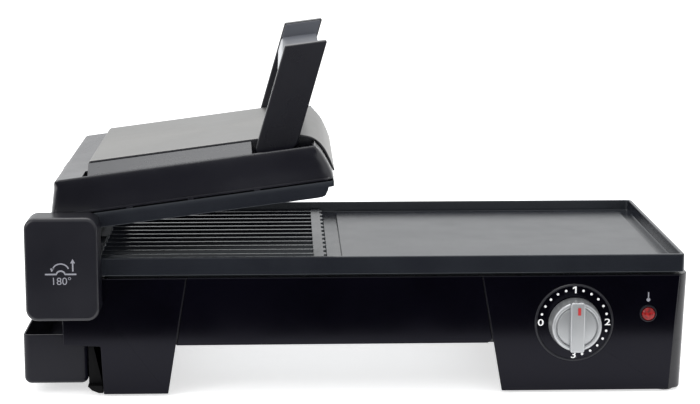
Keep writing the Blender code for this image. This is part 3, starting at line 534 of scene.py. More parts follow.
def pan_surface(x, y):
    """Ribs, land with triangular teeth, and the flat with a soft edge, all standing on the pan's floor."""
    run = smooth_step(x, RIB_LEFT, RIB_LEFT + 0.003) * (x < RIB_RIGHT + 0.002)
    ribs = np.clip(rib_height(y, RIB_TALL), 0, 1) * run
    phase = np.abs(((y / PITCH + 0.5) % 1) - 0.5) * 2
    reach = RIB_RIGHT + LAND + TOOTH * (1 - phase) * (np.abs(y) < TEETH_Y)
    rise = smooth_step(x, RIB_RIGHT - 0.0008, RIB_RIGHT)
    fall = 1 - smooth_step(x, reach - 0.0004, reach + 0.0005)
    land = RIB_TALL * rise * fall * (1 - smooth_step(np.abs(y), TEETH_Y + 0.0003, TEETH_Y + 0.0013))
    over = np.maximum(np.maximum(FLAT_X[0] - x, x - FLAT_X[1]), np.abs(y) - FLAT_Y)
    flat = FLAT_TALL * (1 - smooth_step(over, -0.0008, 0.0002))
    return PAN + np.maximum(np.maximum(ribs, land), flat)


half_rib = np.array([0.0005, 0.0012, 0.0018, 0.0024, 0.0032, 0.0040, 0.0046])
rib_lines = (RIBS[:, None] + np.concatenate([-half_rib, half_rib, [PITCH / 2 - 0.00005]])).ravel()
rib_lines = rib_lines[np.abs(rib_lines) < 0.1155]
plate_xs = lines((-0.2395, -0.2355, 5), (*SLOT_X, 3), (-0.2310, -0.2280, 5), (-0.2200, -0.0400, 24),
                 (-0.0382, -0.0360, 5), (-0.0340, -0.0290, 4), (-0.0286, -0.0244, 15), (-0.0200, -0.0140, 3),
                 (-0.0128, -0.0104, 7), (0.0, 0.270, 19), (0.2740, 0.2764, 7), (0.2805, 0.2845, 5))
side_ys = lines((0.0157, 0.0163, 2), (0.1146, 0.1170, 7), (0.1204, 0.1222, 5), (0.1230, 0.1270, 5))
plate_ys = thinned(np.concatenate([rib_lines, -side_ys, side_ys]))


def plate_frames():
    """The pan's wall, the rim and the outer band, as rounded rectangles drawn in from the plate's outline."""
    steps = [(RIM + 0.0018, 0.0020, PAN), (RIM + 0.0008, 0.0026, PAN + 0.0004),
             (RIM + 0.0004, 0.0028, PAN + 0.0012), (RIM, 0.0030, PLATE_TOP - 0.0007),
             (RIM - 0.0003, 0.0032, PLATE_TOP - 0.0002), (RIM - 0.0008, 0.0034, PLATE_TOP),
             (0.0009, 0.0034, PLATE_TOP), (0.0003, 0.0038, PLATE_TOP - 0.0003),
             (0.0, 0.0040, PLATE_TOP - 0.0010), (0.0, 0.0040, PLATE_LOW + 0.0008),
             (0.0003, 0.0038, PLATE_LOW + 0.0002), (0.0010, 0.0034, PLATE_LOW)]
    return [(plate_low.x + inset, plate_high.x - inset, plate_low.y + inset, plate_high.y - inset, radius, z)
            for inset, radius, z in steps]


def drain_slot(x, y):
    """The grid's cells that the drain slot leaves out."""
    return (x > SLOT_X[0]) & (x < SLOT_X[1]) & (np.abs(y) < SLOT_HALF)


griddle = field("griddle_casting", plate_xs, plate_ys, pan_surface, lambda x, y: np.full(x.shape, PLATE_LOW),
                plate_frames(), hole=drain_slot)
fitted(griddle, NON_STICK, "cast_plate", "base", "griddle_plate")


def hoop(name, low, high, radius, wall, z0, z1, place=level):
    """A rectangular wall between two heights: the outline at both, then the same drawn in by the wall."""
    rings = [place(rectangle((low[0] + by, low[1] + by), (high[0] - by, high[1] - by), radius), z)
             for by, z in ((0, z0), (0, z1), (wall, z1), (wall, z0))]
    return skin(name, rings, wrap=True)


skirt = hoop("griddle_skirt", (-0.2240, -0.1275), (0.2850, 0.1275), 0.006, 0.0080, SHELL_TOP + 0.0003,
             PLATE_LOW + 0.0004)
fitted(skirt, NON_STICK, "cast_plate", "base")


# ---- Heaters and what the body hides ----------------------------------------------------------------
# Sheathed elements on zinc straps under the casting, a bright heat shield, the thermostat, and the terminal
# block. Their CAD shapes are right as they stand, so they only take their finishes.

ZINC = finish_of("zinc_sheet", (0.36, 0.37, 0.38), (0.52, 0.53, 0.55), 0.28, 0.46, metal=1.0, grain=700.0,
                 relief=0.00001, drift=120.0, dust=0.1)
SHEATH = finish_of("element_sheath_steel", (0.10, 0.09, 0.08), (0.20, 0.17, 0.15), 0.42, 0.60, metal=1.0,
                   grain=900.0, drift=60.0)
CERAMIC = finish_of("steatite", (0.70, 0.67, 0.60), (0.80, 0.78, 0.72), 0.45, 0.60, grain=1200.0)


def carried(finish, *nodes):
    """Gives CAD nodes that stay in view a finish."""
    for name in nodes:
        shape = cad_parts[name]
        if not shape.material_slots:
            shape.data.materials.append(finish)
        for place in shape.material_slots:
            place.material = finish


carried(ZINC, "element_strap_left", "element_strap_right", "lower_heat_shield", "drain_chute")
carried(SHEATH, "lower_element_left", "lower_element_right", "upper_element")
carried(CERAMIC, "thermostat_body", "terminal_block", "lamp_holder")


# ---- Bottom cover and feet --------------------------------------------------------------------------
# A zinc-plated service cover closes the hole in the body's floor on four pan-head screws. Under each leg is a
# turned rubber foot.


def turned(name, profile, centre, axis, steps=48, sharp=35):
    """A profile of (radius, height) pairs carried round an axis through centre; heights run along it."""
    profile = np.asarray(profile, float)
    angle = np.linspace(0, 2 * math.pi, steps, endpoint=False)
    across = profile[:, :1] * np.cos(angle)
    up = profile[:, :1] * np.sin(angle)
    along = np.broadcast_to(profile[:, 1:], across.shape)
    order = {"Z": (across, up, along), "-Y": (across, -along, up), "Y": (across, along, up)}[axis]
    rings = np.stack(order, -1) + np.asarray(centre)
    closed = profile[0, 0] > 0 and np.allclose(profile[0], profile[-1])
    return skin(name, rings[:-1] if closed else rings, caps=(False, False), wrap=closed, sharp=sharp)


SCREW_IN = 0.010
SCREW_HEAD = [(0, -0.0002), (0.0037, -0.0002), (0.0036, 0.0006), (0.0030, 0.0013), (0.0013, 0.0012),
              (0.0012, 0.0004), (0, 0.0004)]
cover_low, cover_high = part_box("bottom_cover")
cover_outline = rectangle(cover_low.xy, cover_high.xy, 0.006)
service_cover = slab("service_cover", cover_outline, cover_low.z, cover_high.z, 0.0005, level)
fitted(service_cover, ZINC, "zinc_steel", "base", "bottom_cover")
left, right = cover_low.x + SCREW_IN, cover_high.x - SCREW_IN
near, far = cover_low.y + SCREW_IN, cover_high.y - SCREW_IN
for count, (x, y) in enumerate(((left, near), (right, near), (right, far), (left, far))):
    screw = turned(f"cover_screw_{count}", SCREW_HEAD, (x, y, cover_low.z - 0.0010), "Z", 20)
    fitted(screw, ZINC, "zinc_steel", "base")

RUBBER = finish_of("foot_rubber", (0.012, 0.012, 0.012), (0.022, 0.022, 0.021), 0.60, 0.80, grain=1600.0,
                   relief=0.00004, dust=0.25)
for name in ("foot_front_right", "foot_front_left", "foot_rear_right", "foot_rear_left"):
    low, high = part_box(name)
    radius = (high.x - low.x) / 2
    tall = high.z - low.z
    foot = turned(name + "_pad",
                  [(0, 0), (radius - 0.0030, 0), (radius - 0.0026, 0.0003), (radius - 0.0014, 0.0003),
                   (radius - 0.0008, 0), (radius - 0.0004, 0.0002), (radius, tall - 0.0002),
                   (radius - 0.0002, tall), (0, tall)],
                  ((low.x + high.x) / 2, (low.y + high.y) / 2, low.z), "Z", 40)
    fitted(foot, RUBBER, "rubber", "base", name)


# ---- Drip tray --------------------------------------------------------------------------------------
# A moulded open box with rounded corners and a thin rim. It slides out to the left on two ledges that are
# moulded on the left leg.

SATIN = finish_of("satin_moulding", (0.0042, 0.0042, 0.0078), (0.0058, 0.0058, 0.0100), 0.27, 0.33,
                  grain=1300.0, relief=0.00003, dust=0.04, fixed={"IOR": 1.48})
TRAY_SATIN = finish_of("tray_moulding", (0.0042, 0.0042, 0.0078), (0.0058, 0.0058, 0.0100), 0.27, 0.33,
                       grain=1300.0, relief=0.00003, dust=0.04,
                       fixed={"IOR": 1.48, "Specular IOR Level": 0.20})
MATT_BLACK = finish_of("matt_black_moulding", (0.0012, 0.0012, 0.0016), (0.0020, 0.0020, 0.0026), 0.50, 0.60,
                       grain=1300.0, dust=0.02, fixed={"IOR": 1.40, "Specular IOR Level": 0.15})

tray_low, tray_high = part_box("drip_tray")
TRAY_ROUND = 0.006
TRAY_WALL = 0.0018


def tray_plan(z):
    """The tray's outline, alike at every height."""
    return rectangle(tray_low.xy, tray_high.xy, TRAY_ROUND + 0.0002, 8)


turn = np.linspace(0, math.pi / 2, 7)
tray_levels = [(tray_low.z + TRAY_ROUND * (1 - math.cos(a)), TRAY_ROUND * (1 - math.sin(a))) for a in turn]
tray_levels += [(tray_high.z - 0.0020, 0), (tray_high.z - 0.0004, 0.0001), (tray_high.z, 0.0005),
                (tray_high.z, TRAY_WALL - 0.0004), (tray_high.z - 0.0004, TRAY_WALL)]
inner = TRAY_ROUND - TRAY_WALL
tray_levels += [(tray_low.z + TRAY_WALL + inner * (1 - math.cos(a)), TRAY_WALL + inner * (1 - math.sin(a)))
                for a in turn[::-1]]
tray = skin("drip_tray_box", stack(tray_levels, tray_plan))
fitted(tray, TRAY_SATIN, "satin_plastic", "tray", "drip_tray")

ledge_outline = rounded([(-0.2395, 0.0090), (-0.2350, 0.0045), (-0.2290, 0.0020), (-0.2249, 0.0020),
                         (-0.2253, 0.0090)], [0.0006, 0.004, 0.003, 0.0006, 0.0006], 4)
web_outline = rectangle((-0.2382, 0.0080), (-0.2256, 0.0450), 0.0006, 3)
for name in ("tray_guide_front", "tray_guide_rear"):
    low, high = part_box(name)
    ledge = slab(name + "_ledge", ledge_outline, low.y, high.y, 0.0006)
    fitted(ledge, MATT_BLACK, "satin_plastic", "base", name)
    side = -1 if low.y < -0.1 else 1
    web = slab(name + "_web", web_outline, side * 0.122, side * 0.110, 0.0004)
    fitted(web, MATT_BLACK, "satin_plastic", "base")


# ---- Controls ---------------------------------------------------------------------------------------
# A turned silver knob with a finger bar on the thermostat's shaft, a thin raised ring round the dial, and a
# red pilot lamp in a black bezel.

SILVER = finish_of("silver_paint", (0.40, 0.41, 0.42), (0.47, 0.48, 0.49), 0.30, 0.38, metal=0.75,
                   grain=1800.0, relief=0.000008, dust=0.05)
RED_LENS = finish_of("red_lens_plastic", (0.075, 0.0005, 0.0006), (0.30, 0.003, 0.003), 0.10, 0.20,
                     grain=420.0, relief=0.00040, drift=420.0, dust=0.0,
                     fixed={"Specular IOR Level": 0.30, "Coat Weight": 0.15, "Coat Roughness": 0.08})
RED_PRINT = finish_of("red_print", (0.36, 0.006, 0.008), (0.44, 0.009, 0.010), 0.35, 0.45, dust=0.0)

ring_low, ring_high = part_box("dial_ring")
dial_x = (ring_low.x + ring_high.x) / 2
dial_z = (ring_low.z + ring_high.z) / 2
dial_r = (ring_high.x - ring_low.x) / 2
dial_face = PANEL_FRONT
dial_ring = turned("dial_ring_bead",
                   [(dial_r - 0.0024, 0.0002), (dial_r - 0.0020, 0.0008), (dial_r - 0.0013, 0.0012),
                    (dial_r - 0.0006, 0.0010), (dial_r, 0.0002), (dial_r - 0.0012, 0.00015),
                    (dial_r - 0.0024, 0.0002)], (dial_x, dial_face, dial_z), "-Y", 96)
fitted(dial_ring, SATIN, "satin_plastic", "base", "dial_ring")

KNOB_R = 0.0234
KNOB_H = 0.0150
knob_face = dial_face - 0.0018
knob = turned("control_knob_body",
              [(0.0, KNOB_H), (0.0166, KNOB_H), (0.0172, KNOB_H - 0.0004), (0.0175, KNOB_H - 0.0012),
               (0.0179, KNOB_H - 0.0012), (0.0182, KNOB_H - 0.0002), (0.0187, KNOB_H + 0.0007),
               (0.0196, KNOB_H + 0.0010), (0.0208, KNOB_H + 0.0009), (0.0216, KNOB_H + 0.0003),
               (0.0222, KNOB_H - 0.0008), (0.0230, 0.0070), (KNOB_R - 0.0001, 0.0008),
               (KNOB_R - 0.0004, 0.0002), (KNOB_R - 0.0010, 0.0), (0.0, 0.0)],
              (dial_x, knob_face, dial_z), "-Y", 96)
fitted(knob, SILVER, "silver_knob", "knob", "control_knob")
bar_outline = rectangle((dial_x - 0.0064, dial_z - 0.0220), (dial_x + 0.0064, dial_z + 0.0231), 0.0022)
bar = slab("control_knob_bar", bar_outline, knob_face - KNOB_H - 0.0059, knob_face - KNOB_H + 0.0016, 0.0016)
fitted(bar, SILVER, "silver_knob", "knob")
index_low, index_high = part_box("knob_index")
index_outline = rectangle(index_low.xz, index_high.xz, 0.0004)
mark = slab("knob_index_inlay", index_outline, index_low.y + 0.0005, index_low.y + 0.0012, 0.0001)
fitted(mark, RED_PRINT, "red_lens", "knob", "knob_index")
carried(ZINC, "knob_shaft")

lens_low, lens_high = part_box("lamp_lens")
lamp_x = (lens_low.x + lens_high.x) / 2
lamp_z = (lens_low.z + lens_high.z) / 2
lamp_r = (lens_high.x - lens_low.x) / 2
bezel = turned("lamp_bezel_ring",
               [(lamp_r + 0.0003, 0.0002), (lamp_r + 0.0003, 0.0016), (lamp_r + 0.0008, 0.0022),
                (lamp_r + 0.0012, 0.0020), (0.0073, 0.0012), (0.0078, 0.0003), (0.0070, 0.0002),
                (lamp_r + 0.0003, 0.0002)], (lamp_x, dial_face, lamp_z), "-Y", 48)
fitted(bezel, SATIN, "satin_plastic", "base", "lamp_bezel")
dome = np.linspace(0, math.pi / 2, 9)
lens_profile = [(lamp_r * math.sin(a), 0.0018 + 0.0027 * math.cos(a)) for a in dome]
lens_profile += [(lamp_r, -0.0119), (0, -0.0119)]
lens = turned("lamp_lens_dome", lens_profile, (lamp_x, dial_face, lamp_z), "-Y", 48)
fitted(lens, RED_LENS, "red_lens", "base", "lamp_lens")

inlet_low, inlet_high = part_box("cable_inlet")
inlet = turned("cable_inlet_bush",
               [(0.0035, -0.0079), (0.0078, -0.0079), (0.0078, 0.0003), (0.0111, 0.0003), (0.0115, 0.0008),
                (0.0115, 0.0054), (0.0109, 0.0061), (0.0092, 0.0078), (0.0083, 0.0130), (0.0078, 0.0138),
                (0.0070, 0.0140), (0.0035, 0.0140), (0.0035, -0.0079)],
               ((inlet_low.x + inlet_high.x) / 2, SHELL_BACK, (inlet_low.z + inlet_high.z) / 2), "Y", 48)
fitted(inlet, RUBBER, "rubber", "base", "cable_inlet")


# ---- Hinge ------------------------------------------------------------------------------------------
# Each side of the body carries a moulded cup with a rounded face. Inside it a steel block slides up and down,
# and the two blocks hold the rod that the lid turns on, so the lid can float up over thick food.

BLOCK_ROUND = 0.0105
BLOCK_FACE_EDGE = 0.0032
BLOCK_WALL = 0.0030
BLOCK_FLOOR = 0.0045


def hinge_cup(name, node, side):
    """A cup: a rounded rectangle whose outer face has a quarter-round edge, hollow from the inner side."""
    low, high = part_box(node)
    outline = rectangle(low.xz, high.xz, BLOCK_ROUND, 10)
    inner, outer = (high.y, low.y) if side < 0 else (low.y, high.y)
    turns = np.linspace(0, math.pi / 2, 8)
    rings = [upright(grown(outline, -BLOCK_FACE_EDGE * (1 - math.sin(a))),
                     outer - side * BLOCK_FACE_EDGE * (1 - math.cos(a))) for a in turns]
    hollow = grown(outline, -BLOCK_WALL)
    rings += [upright(outline, inner + side * 0.0004), upright(grown(outline, -0.0004), inner),
              upright(hollow, inner), upright(hollow, outer - side * BLOCK_FLOOR)]
    fitted(skin(name, rings), SATIN, "satin_plastic", "base", node)


hinge_cup("hinge_cup_front", "hinge_block_front", -1)
hinge_cup("hinge_cup_rear", "hinge_block_rear", 1)
carried(ZINC, "slot_plate_front", "slot_plate_rear", "hinge_carriage_front", "hinge_carriage_rear")
rod_low, rod_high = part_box("hinge_rod")
rod_r = (rod_high.z - rod_low.z) / 2
rod = turned("hinge_rod_bar", [(0, rod_low.y), (rod_r - 0.0005, rod_low.y), (rod_r, rod_low.y + 0.0005),
                               (rod_r, rod_high.y - 0.0005), (rod_r - 0.0005, rod_high.y), (0, rod_high.y)],
             ((rod_low.x + rod_high.x) / 2, 0, (rod_low.z + rod_high.z) / 2), "Y", 40)
fitted(rod, ZINC, "zinc_steel", "hinge_carriage", "hinge_rod")


# ---- Lid --------------------------------------------------------------------------------------------
# The lid's shell is one satin black moulding with a sloping back, a leaning nose, a sunk channel along each
# side and two pockets for the handle's arms. A brushed steel cover is folded over its middle, a grey strip
# lies in each channel, and the ribbed upper casting hangs under it on a dark seal and small spacers.

AXIS_X = (rod_low.x + rod_high.x) / 2
AXIS_Z = (rod_low.z + rod_high.z) / 2
TILT = math.radians(7.5)


def on_lid(points):
    """Takes points from the lid's own frame, with the hinge axis at nought and the lid lying flat, to where
    they are: turned up by the tilt and moved to the axis."""
    points = np.asarray(points, float)
    x, y, z = points[:, 0], points[:, 1], points[:, 2]
    return np.column_stack([AXIS_X + x * math.cos(TILT) - z * math.sin(TILT), y,
                            AXIS_Z + x * math.sin(TILT) + z * math.cos(TILT)])


def lid_upright(points, w):
    """The same as upright, in the lid's own frame."""
    return on_lid(upright(points, w))


def lid_level(points, w):
    """The same as level, in the lid's own frame."""
    return on_lid(level(points, w))
LID_TOP = 0.0425
LID_LOW = 0.011
HALF = 0.1335
GROOVE = 0.0350
ROOF = GROOVE - 0.0025
GROOVE_X = (0.0255, 0.2260)
GROOVE_Y = (0.1017, 0.1305)
POCKET_X = (0.1745, 0.2290)
CHEEK_END = 0.2262
POCKET_Y = (0.1030, 0.1162)
NOSE_Z = np.array([0.0110, 0.0165, 0.0250, 0.0345, 0.0425])
NOSE_X = np.array([0.2420, 0.2412, 0.2385, 0.2345, 0.2295])
CHEEK_X = (POCKET_X[0], 0.2140, 0.2250, CHEEK_END)
CHEEK_Z = (0.0490, 0.0486, 0.0452, 0.0440)
LIP = 0.0124
LIP_OUT = 0.0007
WALL_FOOT = 0.0025


def lid_top(x, y):
    """The lid's top: flat, with a channel along each side and a cheek between each pocket and the cover."""
    away = np.abs(y)
    along = smooth_step(x, GROOVE_X[0] - 0.0004, GROOVE_X[0] + 0.0004)
    along = along * (1 - smooth_step(x, GROOVE_X[1] - 0.0002, GROOVE_X[1] + 0.0010))
    across = smooth_step(away, GROOVE_Y[0] - 0.0002, GROOVE_Y[0] + 0.0002)
    across = across * (1 - smooth_step(away, GROOVE_Y[1] - 0.0002, GROOVE_Y[1] + 0.0006))
    height = LID_TOP - (LID_TOP - GROOVE) * along * across
    cheek = (away > GROOVE_Y[0]) & (away < POCKET_Y[0])
    cheek = cheek & (x > POCKET_X[0] - 0.0001) & (x < CHEEK_END + 0.0001)
    return np.where(cheek, np.interp(x, CHEEK_X, CHEEK_Z), height)


lid_xs = lines((0.0040, 0.0100, 5), (0.0150, 0.0240, 3), (0.0250, 0.0260, 5), (0.0300, 0.1700, 8),
               (0.1742, 0.1745, 2), (0.1800, 0.2120, 6), (0.2140, 0.2250, 5), (0.2257, 0.2262, 3),
               (0.2266, 0.2272, 3), (0.2280, 0.2290, 3))
half_ys = lines((0.0, 0.0990, 6), (0.1014, 0.1020, 4), (0.1028, 0.1030, 2), (0.1060, 0.1130, 3),
                (0.1162, 0.1164, 2), (0.1200, 0.1280, 3), (0.1302, 0.1312, 5), (0.1318, 0.1320, 2))
lid_ys = np.unique(np.concatenate([-half_ys, half_ys]))


def sloping_back(z):
    """The back wall's place: it leans forward evenly from the foot to the top."""
    return -0.0080 + 0.0084 * (z - LID_LOW) / (LID_TOP - LID_LOW)


def lid_corner(half, z):
    """The corner's radius grows from the top edge down, and shrinks again inside the wall."""
    return 0.0020 + 0.0060 * smooth_step(-z, -LID_TOP, -0.034) * smooth_step(half, 0.128, 0.1325)


def lid_frames():
    """The walls: each height's rectangle follows the sloping back and the leaning nose down to a small lip,
    then the wall turns under and comes up again inside."""
    rings = [(0.0022, 0.2294, HALF - 0.0006, LID_TOP - 0.0002),
             (0.0012, 0.2298, HALF - 0.0001, LID_TOP - 0.0008), (0.0002, 0.2302, HALF, LID_TOP - 0.0018)]
    for z in np.linspace(LID_TOP - 0.004, LIP + 0.0004, 12):
        half = HALF - LIP_OUT * smooth_step(-z, -0.040, -0.020)
        rings.append((sloping_back(z), np.interp(z, NOSE_Z, NOSE_X), half, z))
    rings += [(sloping_back(LIP), 0.2415, HALF, LIP),
              (sloping_back(LID_LOW + 0.0004), 0.2419, HALF, LID_LOW + 0.0004),
              (-0.0076, 0.2416, HALF - 0.0004, LID_LOW), (-0.0058, 0.2396, HALF - 0.0021, LID_LOW),
              (-0.0054, 0.2392, HALF - WALL_FOOT, LID_LOW + 0.0004), (0.0002, 0.2320, HALF - WALL_FOOT, ROOF)]
    return [(x0, x1, -half, half, lid_corner(half, z), z) for x0, x1, half, z in rings]
def pocket(x, y):
    """The cells of the top that the two pockets leave open."""
    away = np.abs(y)
    return (x > POCKET_X[0]) & (x < POCKET_X[1]) & (away > POCKET_Y[0]) & (away < POCKET_Y[1])


LID_SATIN = finish_of("lid_moulding_satin", (0.0044, 0.0044, 0.0078), (0.0058, 0.0058, 0.0100), 0.20, 0.26,
                      grain=1300.0, relief=0.00002, dust=0.03, fixed={"IOR": 1.58})
lid_moulding = field("lid_moulding", lid_xs, lid_ys, lid_top, lambda x, y: np.full(x.shape, ROOF),
                     lid_frames(), on_lid, pocket, 32)
fitted(lid_moulding, LID_SATIN, "satin_plastic", "lid", "lid_shell")

BRUSHED = finish_of("brushed_cover_steel", (0.215, 0.212, 0.205), (0.295, 0.290, 0.280), 0.30, 0.42,
                    metal=1.0, relief=0.000012, dust=0.03, stretch=(18.0, 2600.0, 18.0),
                    fixed={"Anisotropic": 0.4})
COVER_TOP = 0.051
COVER_HALF = 0.1015
COVER_EDGE = 0.0014
cover_line = np.array([(0.0285, 0.0428), (0.0285, COVER_TOP), (0.1950, COVER_TOP), (0.2150, 0.0498),
                       (0.2275, 0.0462), (0.2338, 0.0402), (0.2380, 0.0330), (0.2414, 0.0225),
                       (0.2437, 0.0130), (0.2421, 0.0130), (0.2416, 0.0170), (0.2389, 0.0255),
                       (0.2349, 0.0350), (0.2302, 0.0428)])
cover_side = rounded(cover_line, [0.0004, 0.0030, 0.30, 0.05, 0.020, 0.020, 0.030, 0.04, 0.0005, 0.0005,
                                  0.002, 0.004, 0.004, 0.001], 5)
seated = np.repeat(np.array([1, 0, 0, 0, 0, 0, 0, 0, 0, 1, 1, 1, 1, 1], float), 6)
steel_cover = slab("lid_steel_cover", cover_side, -COVER_HALF, COVER_HALF, COVER_EDGE, lid_upright, 6, seated)
fitted(steel_cover, BRUSHED, "cover_steel", "lid", "lid_cover")
# Faces that look front or back take the satin moulding. The raised boss's sides are plastic, but the dark
# also reaches into the steel's rounded edge as painted shade, so that edge shows no bright line.
steel_cover.data.materials.append(SATIN)
steel_cover.data.polygons.foreach_set(
    "material_index", [int(abs(face.normal.y) > 0.45) for face in steel_cover.data.polygons])

STRIP_GREY = finish_of("channel_strip", (0.010, 0.011, 0.015), (0.016, 0.017, 0.022), 0.24, 0.30,
                       relief=0.00003, dust=0.02, stretch=(12.0, 1100.0, 1100.0),
                       fixed={"IOR": 1.50, "Specular IOR Level": 0.38})
strip_section = rounded([(0.1018, 0.0352), (0.1018, 0.0494), (0.1215, 0.0412), (0.1300, 0.0396),
                         (0.1300, 0.0352)], [0.0002, 0.0006, 0.010, 0.0006, 0.0002], 4)
for name, side in (("lid_strip_front", -1), ("lid_strip_rear", 1)):
    rings = []
    for x, inset in ((0.0286, 0.0004), (0.0290, 0.0), (0.1736, 0.0), (0.1740, 0.0004)):
        section = grown(strip_section, -inset)
        rings.append(on_lid(np.column_stack([np.full(len(section), x), side * section[:, 0], section[:, 1]])))
    fitted(skin(name, rings), STRIP_GREY, "satin_plastic", "lid")

UPPER_LOW = -0.004
UPPER_TALL = 0.0032
upper_xs = lines((0.0160, 0.0200, 5), (0.0290, 0.0330, 5), (0.0400, 0.2000, 9), (0.2080, 0.2110, 4),
                 (0.2200, 0.2240, 3))


def upper_face(x, y):
    """Hanging ribs at the same pitch as the lower ones, so that food takes one set of marks."""
    run = smooth_step(x, 0.0300, 0.0320) * (1 - smooth_step(x, 0.2090, 0.2110))
    return UPPER_LOW - np.clip(rib_height(y, UPPER_TALL), 0, 1) * run


def upper_frames():
    """The casting's edge: a rounded lower arris, the nose, then the lip that the lid closes on."""
    rings = [(0.0145, 0.2260, 0.1320, UPPER_LOW), (0.0126, 0.2300, HALF - 0.0003, UPPER_LOW + 0.0004),
             (0.0120, 0.2325, HALF, UPPER_LOW + 0.0012), (0.0120, 0.2352, HALF, 0.0012),
             (0.0120, 0.2363, HALF, 0.0040), (0.0120, 0.2365, HALF, 0.0045), (0.0120, 0.2408, HALF, 0.0046),
             (0.0120, 0.2412, HALF, 0.0050), (0.0120, 0.2417, HALF, 0.0090),
             (0.0124, 0.2412, HALF - 0.0004, 0.0096), (0.0180, 0.2250, HALF - 0.0060, 0.0096),
             (0.0180, 0.2245, HALF - 0.0060, 0.0010)]
    return [(x0, x1, -half, half, 0.0015, z) for x0, x1, half, z in rings]


upper_casting = field("upper_casting", upper_xs, plate_ys, upper_face, lambda x, y: np.full(x.shape, 0.0010),
                      upper_frames(), on_lid)
fitted(upper_casting, NON_STICK, "cast_plate", "lid", "upper_plate")

seal = hoop("lid_seal", (0.0140, -0.1300), (0.2360, 0.1300), 0.003, 0.0010, 0.0092, 0.0125, lid_level)
fitted(seal, MATT_BLACK, "rubber", "lid")
TAB_HALF = 0.0026
for count, middle in enumerate((0.0616, 0.1156, 0.1740)):
    tab_outline = rectangle((middle - TAB_HALF, 0.0094), (middle + TAB_HALF, 0.0116), 0.0004, 3)
    for name, side in (("front", -1), ("rear", 1)):
        tab = slab(f"lid_spacer_{name}_{count}", tab_outline, side * 0.1332, side * 0.1300, 0.0003,
                   lid_upright)
        fitted(tab, SATIN, "satin_plastic", "lid")

carried(MATT_BLACK, "upper_clip_front", "upper_clip_rear")
carried(ZINC, "upper_heat_shield", "lid_lug_front", "lid_lug_rear",
        "handle_bracket_front", "handle_bracket_rear", "handle_pin_front", "handle_pin_rear")


# ---- Handle -----------------------------------------------------------------------------------------
# Two flat moulded arms lean back over the lid and turn on pins in its pockets; a silver bar joins them just
# below their tips. A grey moulded saddle covers the bar's top and turns up against the inside of each arm.

PIVOT = np.array([0.1885, 0.0270])
LEAN = math.tan(math.radians(23.7))
ARM_HALF = 0.01875
ARM_TIP = 0.130
ARM_OUT = 0.1145
ARM_THICK = 0.010
NECK = 0.0160
EYE_R = 0.0105


def arm_x(z):
    """The middle of the leaning arms at a height."""
    return PIVOT[0] + (z - PIVOT[1]) * LEAN


def leaning(z0, z1, half, radius, steps):
    """A rounded parallelogram between two heights that leans with the arms."""
    return rounded([(arm_x(z0) - half, z0), (arm_x(z0) + half, z0), (arm_x(z1) + half, z1),
                    (arm_x(z1) - half, z1)], radius, steps)


neck_x = PIVOT[0] + NECK * LEAN
neck_z = PIVOT[1] + NECK
eye = np.radians(np.linspace(20, -200, 24))
eye_points = PIVOT + EYE_R * np.column_stack([np.cos(eye), np.sin(eye)])
arm_top = rounded([(arm_x(ARM_TIP) - ARM_HALF, ARM_TIP), (arm_x(ARM_TIP) + ARM_HALF, ARM_TIP),
                   (neck_x + ARM_HALF, neck_z), tuple(eye_points[0]), tuple(eye_points[-1]),
                   (neck_x - ARM_HALF, neck_z)], [0.0014, 0.0014, 0.006, 0.0001, 0.0001, 0.006], 5)
arm_outline = np.concatenate([arm_top[:18], eye_points, arm_top[-6:]])
for name, side in (("handle_arm_front", -1), ("handle_arm_rear", 1)):
    arm = slab(name + "_plate", arm_outline, side * ARM_OUT, side * (ARM_OUT - ARM_THICK), 0.0012,
               lid_upright)
    fitted(arm, SATIN, "satin_plastic", "handle", name)

GRIP_SILVER = finish_of("grip_silver", (0.42, 0.43, 0.45), (0.50, 0.51, 0.53), 0.26, 0.34, metal=0.6,
                        grain=1500.0, relief=0.000008, dust=0.03)
GRIP_LOW, GRIP_HIGH = 0.101, 0.116
grip_half = ARM_HALF - 0.0012
grip_reach = ARM_OUT - ARM_THICK - 0.0003
grip = slab("handle_grip_bar", leaning(GRIP_LOW, GRIP_HIGH, grip_half, 0.0030, 8), -grip_reach, grip_reach,
            0.0003, lid_upright)
fitted(grip, GRIP_SILVER, "silver_grip", "handle", "handle_grip")

SADDLE_GREY = finish_of("saddle_grey", (0.060, 0.064, 0.078), (0.076, 0.081, 0.096), 0.26, 0.34, grain=1200.0,
                        relief=0.00002, dust=0.03)
SADDLE = 0.0008
saddle_low = arm_x(GRIP_HIGH)
saddle_high = arm_x(GRIP_HIGH + SADDLE)
saddle_top = rounded([(saddle_low - grip_half + 0.0008, GRIP_HIGH - 0.0003),
                      (saddle_low + grip_half - 0.0008, GRIP_HIGH - 0.0003),
                      (saddle_high + grip_half - 0.0008, GRIP_HIGH + SADDLE),
                      (saddle_high - grip_half + 0.0008, GRIP_HIGH + SADDLE)], 0.0003, 3)
saddle = slab("handle_saddle", saddle_top, -grip_reach, grip_reach, 0.0002, lid_upright)
fitted(saddle, SADDLE_GREY, "satin_plastic", "handle")
liner_outline = leaning(GRIP_HIGH, ARM_TIP - 0.0012, grip_half, 0.0012, 4)
for name, side in (("handle_liner_front", -1), ("handle_liner_rear", 1)):
    liner = slab(name, liner_outline, side * (grip_reach + 0.0003), side * (grip_reach - SADDLE), 0.0005,
                 lid_upright)
    fitted(liner, SADDLE_GREY, "satin_plastic", "handle")


# ---- Printed marks ----------------------------------------------------------------------------------
# Thin pad-printed marks: numbers and dots round the dial, a thermometer over the lamp, and on the front hinge
# cup a small picture of the lid being lifted and turned over.

WHITE_PRINT = finish_of("white_print", (0.78, 0.78, 0.78), (0.86, 0.86, 0.86), 0.40, 0.50, grain=1500.0,
                        dust=0.0)
GREY_PRINT = finish_of("grey_print", (0.19, 0.19, 0.22), (0.23, 0.23, 0.26), 0.45, 0.55, grain=1500.0,
                       dust=0.0)
PRINT_LIFT = 0.00012
ink_count = 0


